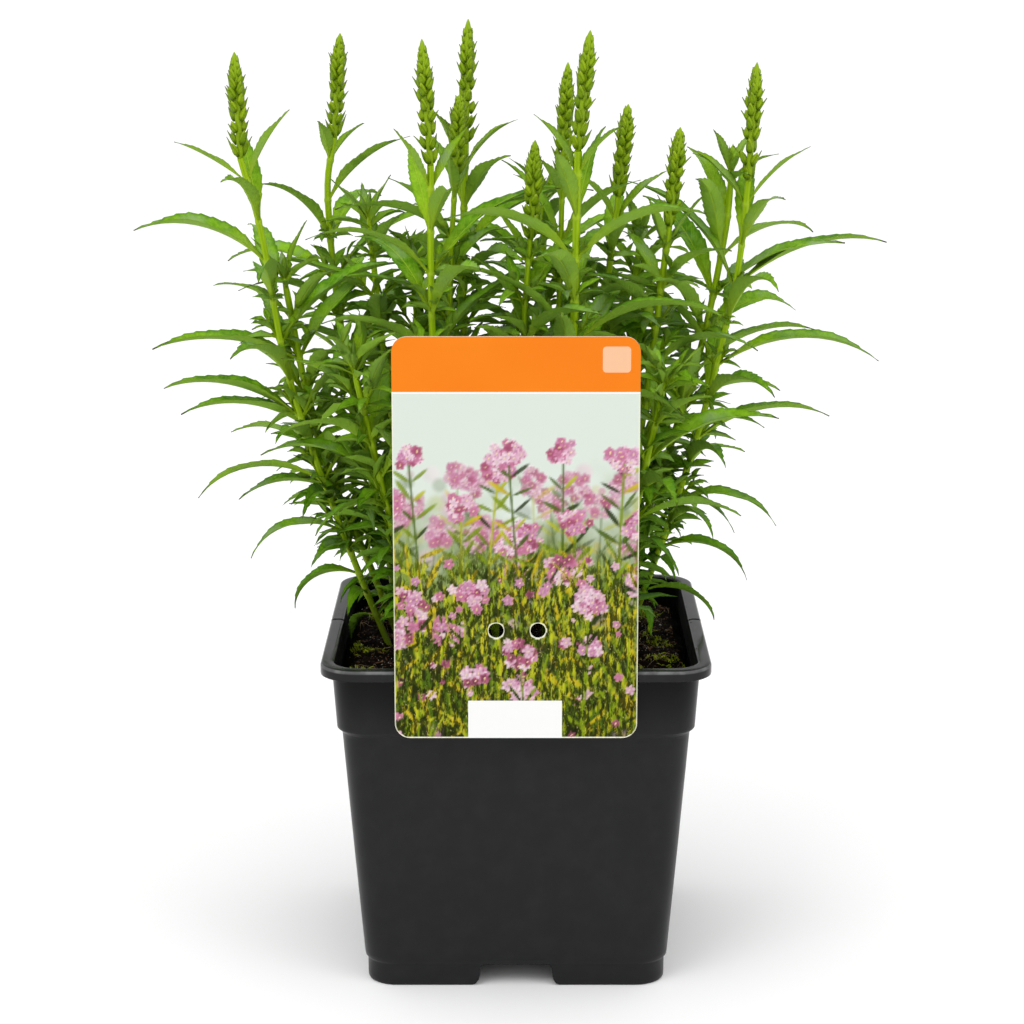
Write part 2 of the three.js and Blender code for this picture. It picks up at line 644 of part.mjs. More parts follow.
function addPiece(name, solid, finish) {
  const mesh = new THREE.Mesh(toGeometry(solid), finish);
  mesh.name = name;
  plant.add(mesh);
}

addPiece('pot', potSolid, finishes.pot);
addPiece('soil', soilSolid, finishes.soil);
addPiece('label', labelSolid, finishes.label);
addPiece('label_hook', hookSolid, finishes.hook);
stems.forEach((stem, index) => addPiece(stem.name, leafyStem(stem, index), finishes.leaf));
spikes.forEach(({ name, solid }) => addPiece(name, solid, finishes.bud));

export default plant;
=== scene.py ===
"""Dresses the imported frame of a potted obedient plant: pot, soil, moss, label, leafy stems and flower spikes.

Lengths are millimetres until a mesh is made. +Z is up, the label faces -Y and +X is to its right.
"""
import logging
import math
from dataclasses import dataclass, field, fields
from enum import Enum

import bpy
import numpy as np
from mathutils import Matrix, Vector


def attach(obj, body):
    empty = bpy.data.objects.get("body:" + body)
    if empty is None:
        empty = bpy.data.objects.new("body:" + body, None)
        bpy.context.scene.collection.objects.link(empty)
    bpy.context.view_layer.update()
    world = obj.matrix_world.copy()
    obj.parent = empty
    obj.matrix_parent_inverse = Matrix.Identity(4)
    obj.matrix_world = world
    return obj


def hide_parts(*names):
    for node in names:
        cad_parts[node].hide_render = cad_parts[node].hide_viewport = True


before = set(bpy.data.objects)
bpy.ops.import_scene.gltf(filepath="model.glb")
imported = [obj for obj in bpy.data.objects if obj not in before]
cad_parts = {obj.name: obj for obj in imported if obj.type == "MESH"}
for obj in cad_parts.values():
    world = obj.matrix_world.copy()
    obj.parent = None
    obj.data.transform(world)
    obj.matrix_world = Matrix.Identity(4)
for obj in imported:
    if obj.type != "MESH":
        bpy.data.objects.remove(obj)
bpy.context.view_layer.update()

Array = np.ndarray
Colour = tuple[float, float, float]
Skins = list[bpy.types.Material]
MM = 0.001
WIDTH = 9
DRAWS = 256
log = logging.getLogger("plant")


class Slot(str, Enum):
    """The record's material slots, one named for each piece."""

    POT = "pot_plastic"
    SOIL = "soil"
    LABEL = "label_sheet"
    HOOK = "hook_plastic"
    LEAF = "leaf_and_stem"
    BUD = "flower_bud"


def ease(share: Array) -> Array:
    """Runs from 0 to 1 with level ends: three times the square less twice the cube."""
    share = np.clip(share, 0.0, 1.0)
    return share * share * (3.0 - 2.0 * share)


def blend(low: float, high: float, share: Array) -> Array:
    """Goes in a straight line from low at share 0 to high at share 1."""
    return low + (high - low) * share


def unit(vectors: Array) -> Array:
    """Scales each vector of an array to length one."""
    return vectors / np.linalg.norm(vectors, axis=-1, keepdims=True)


def level(heading: Array) -> Array:
    """Gives the level unit vectors a quarter turn on from some headings."""
    return np.stack([-np.sin(heading), np.cos(heading), np.zeros_like(heading)], -1)


def direction(heading: Array, rise: Array) -> Array:
    """Gives the unit vectors at some headings, raised from the level by some angles."""
    return np.stack([np.cos(rise) * np.cos(heading), np.cos(rise) * np.sin(heading), np.sin(rise)], -1)


def across(along: Array) -> tuple[Array, Array]:
    """Gives two unit vectors across each direction: one as near +X as it can lie, and one across both."""
    side = unit(np.array([1.0, 0.0, 0.0]) - along * along[..., :1])
    return side, np.cross(along, side)


def chance(*numbers: int) -> float:
    """Makes an even draw between 0 and 1 that depends only on three whole numbers.

    Args:
        numbers: the stem, the leaf on it and the number of the draw.

    Returns:
        The products of the numbers with odd multipliers, mixed bit by bit as the solids' own rule does.
    """
    whole, bits = 0xFFFFFFFF, 0
    for number, factor in zip(numbers, (0x9E3779B1, 0x85EBCA6B, 0xC2B2AE35)):
        bits ^= (number + 1) * factor & whole
    bits = (bits ^ bits >> 15) * 0x2C1B3C6D & whole
    bits = (bits ^ bits >> 12) * 0x297A2D39 & whole
    return (bits ^ bits >> 15) / 2**32


def lattice(x: Array, y: Array, size: float, seed: int) -> Array:
    """Gives smooth random heights between -1 and 1 over a plane.

    Args:
        x: places across.
        y: places along.
        size: the distance between two draws.
        seed: which draws are used.

    Returns:
        The draws at the four corners of each place's square, blended by ease in both directions.
    """
    table = np.random.default_rng(seed).uniform(-1.0, 1.0, (DRAWS, DRAWS))
    column, row = np.floor(x / size).astype(int), np.floor(y / size).astype(int)
    here, after = column % DRAWS, (column + 1) % DRAWS
    near, far = (blend(table[here, at], table[after, at], ease(x / size - column))
                 for at in (row % DRAWS, (row + 1) % DRAWS))
    return blend(near, far, ease(y / size - row))


def square_ring(half: Array, corner: Array, per_corner: int) -> Array:
    """Gives rings in the shape of a square with round corners, anticlockwise seen from above.

    Args:
        half: half the width of each ring.
        corner: the radius of its corners.
        per_corner: how many points go round each corner.

    Returns:
        Points (rings, 4 * per_corner, 2): for each angle the corner's centre plus the radius along the angle.
    """
    half, corner = np.broadcast_arrays(np.atleast_1d(half), np.atleast_1d(corner))
    middle = np.radians(45.0 + 90.0 * np.repeat(np.arange(4), per_corner))
    angle = middle + np.radians(90.0) * np.tile(np.linspace(-0.5, 0.5, per_corner), 4)
    centre = np.sign(np.stack([np.cos(middle), np.sin(middle)], -1))
    arm = np.stack([np.cos(angle), np.sin(angle)], -1)
    return centre * (half - corner)[:, None, None] + arm * corner[:, None, None]


def grid_quads(rows: int, columns: int, is_round: bool = True) -> Array:
    """Lists the four-sided faces of a grid of points that is numbered row by row.

    Args:
        rows: rows of points.
        columns: points in a row.
        is_round: whether the last point of a row joins its first.

    Returns:
        Faces (n, 4), which look outwards where rows are anticlockwise rings stacked upwards.
    """
    start = np.arange(rows - 1)[:, None] * columns
    here = np.arange(columns if is_round else columns - 1)[None, :]
    after = (here + 1) % columns
    near, far = start + here, start + after
    return np.stack([near, far, far + columns, near + columns], -1).reshape(-1, 4)


def limbs(path: Array, side: Array, up: Array, half: Array, high: Array,
          columns: int, power: float = 2.0) -> Array:
    """Carries a rounded section along many paths at once.

    The section is a superellipse: the unit circle's point over the power mean of its two coordinates.

    Args:
        path: middle points (bodies, rows, 3).
        side: unit vectors across, of the same shape.
        up: unit vectors over the path, with side x up along it.
        half: half the section's width (bodies, rows).
        high: half its height.
        columns: points round the section.
        power: 2 for an ellipse, more for a rectangle with round corners.

    Returns:
        Rings (bodies, rows, columns, 3).
    """
    angle = 2.0 * np.pi * np.arange(columns) / columns
    cosine, sine = np.cos(angle), np.sin(angle)
    reach = (np.abs(cosine) ** power + np.abs(sine) ** power) ** (-1.0 / power)
    out, over = half[..., None] * (reach * cosine), high[..., None] * (reach * sine)
    return path[:, :, None] + out[..., None] * side[:, :, None] + over[..., None] * up[:, :, None]


def with_values(rings: Array, *values: Array | float) -> Array:
    """Adds values to each point of some rings, each given as an array or number that fits their shape."""
    filled = [np.broadcast_to(value, rings.shape[:-1])[..., None] for value in values]
    return np.concatenate([rings, *filled], -1)


@dataclass
class Draft:
    """A mesh in the making: points in millimetres with six values each, faces, and the look of each face.

    The values reach materials as two vector attributes, place and tone.
    """

    points: list[Array] = field(default_factory=list)
    faces: list[Array] = field(default_factory=list)
    looks: list[Array] = field(default_factory=list)
    count: int = 0

    def add(self, points: Array, faces: Array, look: int | Array = 0) -> "Draft":
        """Adds faces on new points.

        Args:
            points: (n, 3) or (n, 9), the last six being the values of each point.
            faces: four-sided faces (n, 4), numbered from the first of these points.
            look: the number of the material on the piece, or one for each face.

        Returns:
            The draft itself.
        """
        self.points.append(np.pad(points, ((0, 0), (0, WIDTH - points.shape[1]))))
        self.faces.append(faces + self.count)
        self.looks.append(np.broadcast_to(look, len(faces)))
        self.count += len(points)
        return self

    def add_lofts(self, rings: Array, look: int = 0) -> "Draft":
        """Adds closed bodies that are lofted over rings, with rows of faces across each end.

        Args:
            rings: (bodies, rows, even columns, 3 or more), anticlockwise seen from the last ring.
            look: the number of the material on the piece.

        Returns:
            The draft itself.
        """
        bodies, rows, columns, width = rings.shape
        near = np.arange(columns // 2 - 1)
        cap = np.stack([near, near + 1, columns - 2 - near, columns - 1 - near], -1)
        faces = np.concatenate([grid_quads(rows, columns), cap[:, ::-1], cap + (rows - 1) * columns])
        shift = (np.arange(bodies) * rows * columns)[:, None, None]
        return self.add(rings.reshape(-1, width), (faces[None] + shift).reshape(-1, 4), look)

    def build(self, name: str, skins: Skins, sharp: float | None = None) -> bpy.types.Object:
        """Makes the Blender object, at the origin, unturned and unscaled.

        Args:
            name: the piece's name.
            skins: its materials, in the order of the looks.
            sharp: the angle in degrees from which an edge stays sharp, if any does.

        Returns:
            The object, linked to the scene.
        """
        points, faces = np.concatenate(self.points), np.concatenate(self.faces)
        mesh = bpy.data.meshes.new(name)
        mesh.vertices.add(len(points))
        mesh.vertices.foreach_set("co", (points[:, :3] * MM).ravel())
        mesh.loops.add(4 * len(faces))
        mesh.loops.foreach_set("vertex_index", faces.ravel())
        mesh.polygons.add(len(faces))
        mesh.polygons.foreach_set("loop_start", 4 * np.arange(len(faces)))
        mesh.polygons.foreach_set("material_index", np.concatenate(self.looks))
        mesh.polygons.foreach_set("use_smooth", np.ones(len(faces), bool))
        for attribute, first in (("place", 3), ("tone", 6)):
            values = mesh.attributes.new(attribute, "FLOAT_VECTOR", "POINT")
            values.data.foreach_set("vector", points[:, first:first + 3].ravel())
        mesh.update(calc_edges=True)
        if sharp is not None:
            mesh.set_sharp_from_angle(angle=math.radians(sharp))
        for skin in skins:
            mesh.materials.append(skin)
        piece = bpy.data.objects.new(name, mesh)
        bpy.context.scene.collection.objects.link(piece)
        return piece


def place_piece(piece: bpy.types.Object, slot: Slot, *nodes: str) -> None:
    """Sets a piece on the frame's one body.

    Args:
        piece: the finished object.
        slot: the material slot of the record; it is not used.
        nodes: the CAD nodes that it stands for, if any.
    """
    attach(piece, "root")
    if nodes:
        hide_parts(*nodes)
    log.info("%s: %d faces", piece.name, len(piece.data.polygons))


def full(value: "Value") -> "Value":
    """Gives a plain colour its fourth number."""
    return (*value, 1.0) if isinstance(value, tuple) else value


class Wire:
    """A value in a node graph. Arithmetic on it adds math nodes."""

    def __init__(self, sheet: "Sheet", socket: bpy.types.NodeSocket) -> None:
        """Holds the socket that gives the value."""
        self.sheet, self.socket = sheet, socket

    def math(self, operation: str, *others: "Value") -> "Wire":
        """Works out one number from this one and others."""
        return self.sheet.wire("Math", 0, dict(enumerate((self, *others))), operation=operation)

    def __add__(self, other: "Value") -> "Wire":
        """Adds a number."""
        return self.math("ADD", other)

    def __sub__(self, other: "Value") -> "Wire":
        """Takes a number off."""
        return self.math("SUBTRACT", other)

    def __mul__(self, other: "Value") -> "Wire":
        """Multiplies by a number."""
        return self.math("MULTIPLY", other)

    def rest(self) -> "Wire":
        """Gives what is missing to one."""
        return self.sheet.wire("Math", 0, {0: 1.0, 1: self}, operation="SUBTRACT")

    def rise(self, start: float, end: float, low: float = 0.0, high: float = 1.0) -> "Wire":
        """Eases from low to high as this goes from start to end."""
        inputs = {0: self, 1: start, 2: end, 3: low, 4: high}
        return self.sheet.wire("MapRange", 0, inputs, interpolation_type="SMOOTHSTEP")

    def mix(self, low: "Value", high: "Value") -> "Wire":
        """Blends two colours, with this as the share of the second."""
        return self.sheet.wire("Mix", 2, {0: self, 6: full(low), 7: full(high)}, data_type="RGBA")

    def under(self, *layers: tuple["Value", "Wire"]) -> "Wire":
        """Lays colours over this one in turn.

        Args:
            layers: each colour with its cover, the lowest first.

        Returns:
            The colour that shows.
        """
        colour = self
        for layer, cover in layers:
            colour = cover.mix(colour, layer)
        return colour

    def bump(self, distance: float, strength: float, over: "Wire | None" = None) -> "Wire":
        """Turns this height into a normal.

        Args:
            distance: how high 1 is, in metres.
            strength: how much of it counts.
            over: the normal of a bump below this one.

        Returns:
            The normal.
        """
        inputs = {"Height": self, "Distance": distance, "Strength": strength}
        return self.sheet.wire("Bump", 0, inputs | ({} if over is None else {"Normal": over}))


Value = Wire | float | tuple


class Sheet:
    """The node graph of one material, or of the world."""

    def __init__(self, name: str, owner: bpy.types.World | None = None) -> None:
        """Starts an empty graph.

        Args:
            name: the name of the new material that it is in, if no owner is given.
            owner: the world that it is in.
        """
        self.owner = owner or bpy.data.materials.new(name)
        self.owner.use_nodes = True
        self.tree = self.owner.node_tree
        self.tree.nodes.clear()

    def node(self, kind: str, inputs: dict[str | int, Value], **settings: object) -> bpy.types.Node:
        """Adds a node.

        Args:
            kind: the node's type, without the leading ShaderNode.
            inputs: what goes into its sockets, by name or number.
            settings: its own properties.

        Returns:
            The node.
        """
        made = self.tree.nodes.new("ShaderNode" + kind)
        for key, setting in settings.items():
            setattr(made, key, setting)
        for key, value in inputs.items():
            if isinstance(value, Wire):
                self.tree.links.new(value.socket, made.inputs[key])
            else:
                made.inputs[key].default_value = value
        return made

    def wire(self, kind: str, output: str | int, inputs: dict[str | int, Value], **settings: object) -> Wire:
        """Adds a node and gives one of its outputs."""
        return Wire(self, self.node(kind, inputs, **settings).outputs[output])

    def parts(self, vector: Wire) -> list[Wire]:
        """Splits a vector into its three numbers."""
        return [Wire(self, socket) for socket in self.node("SeparateXYZ", {0: vector}).outputs]

    def attribute(self, name: str) -> Wire:
        """Reads a vector attribute."""
        return self.wire("Attribute", "Vector", {}, attribute_name=name)

    def spot(self) -> Wire:
        """Reads the Object coordinates."""
        return self.wire("TexCoord", "Object", {})

    def noise(self, scale: float, detail: float = 2.0, roughness: float = 0.5,
              stretch: Colour = (1, 1, 1)) -> Wire:
        """Gives noise on Object coordinates.

        Args:
            scale: its cells to a metre.
            detail: how many finer layers it has.
            roughness: how strong they are.
            stretch: what the coordinates are multiplied by first.

        Returns:
            Numbers from 0 to 1.
        """
        vector = self.wire("Mapping", 0, {"Vector": self.spot(), "Scale": stretch})
        inputs = {"Vector": vector, "Scale": scale, "Detail": detail, "Roughness": roughness}
        return self.wire("TexNoise", "Fac", inputs)

    def rounded(self, x: Wire, y: Wire, centre: tuple, half: tuple, corner: float) -> Wire:
        """Says where a rectangle with round corners is.

        Args:
            x: the place across.
            y: the place along.
            centre: the rectangle's centre.
            half: half its width and length.
            corner: the radius of its corners.

        Returns:
            One where the distance to the inner rectangle is under the radius, else zero.
        """
        squares = []
        for value, middle, reach in zip((x, y), centre, half):
            out = ((value - middle).math("ABSOLUTE") - (reach - corner)).math("MAXIMUM", 0.0)
            squares.append(out * out)
        return (squares[0] + squares[1]).math("LESS_THAN", corner * corner)

    def close(self, colour: Value, roughness: Value, normal: Wire | None,
              **constants: float) -> bpy.types.Material:
        """Ends the graph in a Principled shader.

        Args:
            colour: its base colour.
            roughness: its roughness.
            normal: its normal, if it isn't the surface's own.
            constants: plain numbers for its other sockets, with _ for each space.

        Returns:
            The material.
        """
        inputs = {key.replace("_", " "): value for key, value in constants.items()}
        inputs |= {"Base Color": full(colour), "Roughness": roughness}
        if normal is not None:
            inputs["Normal"] = normal
        self.node("OutputMaterial", {"Surface": self.wire("BsdfPrincipled", 0, inputs)})
        return self.owner


@dataclass(frozen=True)
class PotPlastic:
    """Black recycled plastic: satin, finely grained, glossier on the rim, whose flat top is scuffed grey.

    The rim's rounded outer edge carries a painted highlight, and painted shade darkens the collar under the rim
    and the inner wall.
    """

    black: Colour = (0.0122, 0.0122, 0.0127)
    # grey of the scuffed rim top, and of the painted highlight along the rim's rounded outer edge
    worn: Colour = (0.150, 0.152, 0.150)
    # near black for painted shade under the rim and on the inner wall, and for the rim's seam and nicks
    shadow: Colour = (0.0006, 0.0006, 0.0006)
    rim_foot: float = 0.1119
    rim_edge: float = 0.1150
    rim_flat: float = 0.1152
    wall_from: float = 0.1063
    # height over which the painted shade under the rim fades out
    collar: float = 0.022
    mouth: tuple = ((0.0, 0.0), (0.0605, 0.0605), 0.0092)
    outline: tuple = ((0.0, 0.0), (0.0645, 0.0645), 0.0121)

    def material(self) -> bpy.types.Material:
        """Makes the material: slow patches of roughness, fine grain and a scuffed rim.

        A painted highlight runs along the rim's rounded outer edge, and painted shade covers the inner wall and
        the collar under the rim.
        """
        sheet = Sheet("pot plastic")
        x, y, height = sheet.parts(sheet.spot())
        on_rim = height.rise(self.rim_foot - 0.0001, self.rim_foot + 0.0003)
        on_flat = height.rise(self.rim_flat, self.rim_flat + 0.0007)
        # painted shade: the inner wall above the soil is coloured near black
        inner = sheet.rounded(x, y, *self.mouth) * height.math("GREATER_THAN", self.wall_from)
        scratches = sheet.noise(900.0, 3.0, 0.6, (1, 0.25, 1)).rise(0.52, 0.72)
        dust = sheet.noise(140.0, 4.0, 0.6).rise(0.35, 0.75)
        # the rim's rounded outer edge, lightened below as a painted highlight line
        edge = sheet.rounded(x, y, *self.outline).rest()
        edge = edge * height.rise(self.rim_edge - 0.0004, self.rim_edge + 0.0002)
        # scratches on the flat top and dust are real scuffs; along the outer edge the grey is a painted
        # highlight
        scuffs_and_highlight = on_flat * (scratches * 0.10 + 0.02) + edge * dust.rise(0.0, 0.8, 0.45, 0.95) + dust * 0.02
        seam = on_flat * (y + scratches * 0.0006).math("ABSOLUTE").rise(0.0011, 0.0004, 0.0, 0.9)
        nicks = on_flat * sheet.noise(420.0, 1.0).rise(0.74, 0.80)
        # painted shade on the inner wall, with the real seam and nicks on the rim top
        dark = inner.math("MAXIMUM", seam.math("MAXIMUM", nicks))
        # painted shade: the collar darkens towards the rim's overhang
        under_rim_shade = height.rise(self.rim_foot - self.collar, self.rim_foot, 0.0, 0.95) * on_rim.rest()
        colour = scuffs_and_highlight.mix(self.black, self.worn).under((self.shadow, under_rim_shade), (self.shadow, dark))
        roughness = sheet.noise(60.0, 3.0).rise(0.3, 0.7, 0.28, 0.36) - on_rim * 0.18 + dark * 0.7
        groove = (seam * -1.0).bump(0.0008, 0.9)
        grain = sheet.noise(2600.0, 2.0).bump(0.00004, 0.3, groove)
        flow = sheet.noise(55.0, 1.0, 0.5, (1, 1, 0.3)).bump(0.0006, 0.2, grain)
        return sheet.close(colour, roughness, flow, Specular_IOR_Level=0.13)


@dataclass(frozen=True)
class Earth:
    """Moist dark peat: crumbly, with brown and nearly black patches."""

    dark: Colour = (0.0020, 0.0014, 0.0010)
    brown: Colour = (0.008, 0.0042, 0.0026)
    fleck: Colour = (0.060, 0.036, 0.014)

    def material(self) -> bpy.types.Material:
        """Makes the material: two sizes of noise for the colour, and crumbs as a bump."""
        sheet = Sheet("peat")
        crumbs, patches = sheet.noise(700.0, 4.0, 0.65), sheet.noise(120.0, 3.0)
        colour = patches.rise(0.35, 0.7).mix(self.dark, self.brown)
        colour = colour.under((self.fleck, crumbs.rise(0.62, 0.78, 0.0, 0.7)))
        roughness = patches.rise(0.3, 0.7, 0.95, 0.7)
        return sheet.close(colour, roughness, crumbs.bump(0.0008, 0.8), Specular_IOR_Level=0.04)


@dataclass(frozen=True)
class Litter:
    """Bits of bark and fibre on the soil, whose colour goes by the tone attribute."""

    name: str
    dark: Colour
    pale: Colour
    roughness: float = 0.85

    def material(self) -> bpy.types.Material:
        """Makes the material: a colour between dark and pale for each bit, with streaks of noise."""
        sheet = Sheet(self.name)
        streaks = sheet.noise(1500.0, 3.0, 0.6, (1, 1, 0.4))
        share = sheet.parts(sheet.attribute("tone"))[0] * 0.7 + streaks * 0.45
        colour = share.rise(0.1, 1.0).mix(self.dark, self.pale)
        return sheet.close(colour, self.roughness, streaks.bump(0.0003, 0.6), Specular_IOR_Level=0.1)


@dataclass(frozen=True)
class LeafSkin:
    """A leaf: mid green above with pale veins and patches of painted sheen, greyer below, yellow at its root
    and brown at its very tip.
    """

    deep: Colour = (0.060, 0.192, 0.001)
    bright: Colour = (0.252, 0.488, 0.018)
    young: Colour = (0.280, 0.450, 0.010)
    below: Colour = (0.230, 0.385, 0.044)
    # grey-green of the painted sheen that lies over some leaves
    bloom: Colour = (0.265, 0.390, 0.165)
    vein: Colour = (0.330, 0.500, 0.030)
    root: Colour = (0.340, 0.500, 0.008)
    tip: Colour = (0.140, 0.080, 0.030)
    side_veins: float = 15.0

    def material(self) -> bpy.types.Material:
        """Makes the material from the attributes place (along, across, below) and tone (seed, youth, shade).

        Side veins are narrow sine crests of along less a share of the distance from the midrib.

        Returns:
            The material.
        """
        sheet = Sheet("leaf skin")
        along, off, under = sheet.parts(sheet.attribute("place"))
        seed, youth, shade = sheet.parts(sheet.attribute("tone"))
        out, under = off.math("ABSOLUTE"), under.math("GREATER_THAN", 0.5)
        cloud = sheet.noise(160.0, 3.0).rise(0.3, 0.72)
        mottle = sheet.noise(620.0, 3.0, 0.6).rise(0.36, 0.66, -0.16, 0.16)
        share = (cloud * 0.50 + seed * 0.6 + mottle).math("MAXIMUM", 0.0)
        # painted sheen: grey-green patches nearest the midrib, on some leaves only
        haze = sheet.noise(95.0, 2.0).rise(0.40, 0.66) * out.rise(1.0, 0.55)
        haze = haze * (seed * 5.0).math("FRACT").rise(0.30, 0.95, 0.0, 0.85)
        wave = ((along - out * 0.14) * (self.side_veins * 2.0 * math.pi)).math("SINE")
        crest = wave.rise(0.80, 1.0) * out.rise(0.9, 0.5)
        veins = (crest * 0.26).math("MAXIMUM", out.rise(0.12, 0.03) * 0.6)
        colour = share.mix(self.deep, self.bright).under(
            (self.young, youth * 0.75),
            (self.bloom, haze),
            (self.deep, out.rise(0.66, 1.0, 0.0, 0.55)),
            (self.below, under * 0.8),
            (self.vein, veins),
            (self.root, along.rise(0.42, 0.0, 0.0, 0.8)),
            (self.tip, along.rise(0.955, 0.995, 0.0, 0.8)),
            (self.deep, shade),
        )
        curl = (out.math("POWER", 2.2) * -1.0).bump(0.0011, 0.8)
        normal = (sheet.noise(520.0, 2.0) - veins * 0.9).bump(0.0004, 0.8, curl)
        roughness = under.rise(0.2, 0.8, 0.40, 0.62)
        return sheet.close(colour, roughness, normal, Specular_IOR_Level=0.05, Sheen_Weight=0.02)


@dataclass(frozen=True)
class StemSkin:
    """A four-sided stem: lime green ribs with darker flats, a pale ring at each pair of leaves, and painted
    shade low down.
    """

    flat: Colour = (0.190, 0.330, 0.002)
    rib: Colour = (0.370, 0.540, 0.006)
    ring: Colour = (0.360, 0.490, 0.030)
    # painted shade: the dark green that the stem turns to near the soil
    old: Colour = (0.060, 0.090, 0.004)

    def material(self) -> bpy.types.Material:
        """Makes the material from the attributes place (height, rib, ring) and tone (seed, youth, painted
        shade).
        """
        sheet = Sheet("stem skin")
        _, rib, ring = sheet.parts(sheet.attribute("place"))
        seed, _, foot_shade = sheet.parts(sheet.attribute("tone"))
        streaks = sheet.noise(1300.0, 3.0, 0.6, (1, 1, 0.08))
        # the last layer is painted shade, darkest near the soil
        colour = (rib * 0.7 + streaks * 0.35).mix(self.flat, self.rib).under(
            (self.ring, ring * 0.7), (self.flat, seed * 0.25), (self.old, foot_shade * 0.85))
        return sheet.close(colour, 0.42, streaks.bump(0.0002, 0.5), Specular_IOR_Level=0.14)


@dataclass(frozen=True)
class BudSkin:
    """Buds and bracts: olive green with pale tips, yellow-green where they are youngest, and painted shade in
    the clefts at their feet.
    """

    olive: Colour = (0.130, 0.235, 0.002)
    lime: Colour = (0.352, 0.482, 0.006)
    pale: Colour = (0.445, 0.570, 0.040)
    young: Colour = (0.240, 0.370, 0.008)
    # painted shade in the clefts where buds and bracts meet the axis
    cleft: Colour = (0.045, 0.090, 0.001)
    tip: Colour = (0.085, 0.115, 0.008)
    ribs: float = 5.0

    def material(self) -> bpy.types.Material:
        """Makes the material from the attributes place (along, around, bract) and tone (seed, youth, 0)."""
        sheet = Sheet("bud skin")
        along, around, bract = sheet.parts(sheet.attribute("place"))
        seed, youth, _ = sheet.parts(sheet.attribute("tone"))
        ribs = (around * (self.ribs * 2.0 * math.pi)).math("SINE").rise(-0.4, 1.0)
        colour = (seed * 0.35 + ribs * 0.2).mix(self.olive, self.lime).under(
            (self.pale, along.rise(0.7, 1.0, 0.0, 0.4)),
            (self.young, youth * 0.85),
            # painted shade: darker towards the foot of each bud and bract
            (self.cleft, along.rise(0.40, 0.0, 0.0, 0.7)),
            (self.tip, bract * along.rise(0.62, 0.95)),
        )
        normal = (sheet.noise(1800.0, 2.0) + ribs * 0.5).bump(0.00015, 0.5)
        return sheet.close(colour, 0.5, normal, Specular_IOR_Level=0.14)


@dataclass(frozen=True)
class PrintedSheet:
    """The label's printed front: an orange band, a white line, a picture, a blank patch and a bare badge."""

    orange: Colour = (0.760, 0.196, 0.010)
    amber: Colour = (0.750, 0.182, 0.009)
    white: Colour = (0.77, 0.77, 0.76)
    peach: Colour = (0.76, 0.45, 0.27)
    gap: Colour = (0.014, 0.018, 0.001)
    glint: Colour = (0.62, 0.60, 0.20)
    band: float = 0.2093
    line: float = 0.2087
    badge: tuple = ((0.0322, 0.2198), (0.0045, 0.0042), 0.0012)
    patch: tuple = ((-0.0003, 0.1000), (0.0154, 0.0064), 0.0002)

    def material(self) -> bpy.types.Material:
        """Makes the material: the tone attribute is the picture, whose greens get dark gaps and glints."""
        sheet = Sheet("label print")
        picture = sheet.attribute("tone")
        x, _, height = sheet.parts(sheet.spot())
        green = sheet.parts(picture)[2].rise(0.22, 0.06, 0.15, 1.0)
        busy = height.rise(0.172, 0.140) * green
        gaps = busy * sheet.noise(900.0, 3.0, 0.6, (1, 1, 0.35)).rise(0.43, 0.57, 0.0, 0.90)
        glints = busy * sheet.noise(1500.0, 2.0, 0.5, (1, 1, 0.6)).rise(0.62, 0.76, 0.0, 0.35)
        header = sheet.noise(30.0, 2.0).rise(0.3, 0.7).mix(self.orange, self.amber)
        colour = gaps.mix(picture, self.gap).under(
            (self.glint, glints),
            (self.white, height.math("GREATER_THAN", self.line)),
            (header, height.math("GREATER_THAN", self.band)),
            (self.peach, sheet.rounded(x, height, *self.badge)),
            (self.white, sheet.rounded(x, height, *self.patch)),
        )
        return sheet.close(colour, 0.34, sheet.noise(1500.0, 2.0).bump(0.00002, 0.3), Specular_IOR_Level=0.06)


@dataclass(frozen=True)
class PlainSheet:
    """Bare plastic: the label's back and cut edges, or the dark strip of its hook."""

    name: str
    colour: Colour
    shade: Colour
    roughness: float

    def material(self) -> bpy.types.Material:
        """Makes the material: a faint mottle in colour and a fine grain."""
        sheet = Sheet(self.name)
        colour = sheet.noise(200.0, 3.0).rise(0.3, 0.7).mix(self.colour, self.shade)
        return sheet.close(colour, self.roughness, sheet.noise(1800.0, 2.0).bump(0.00003, 0.4))


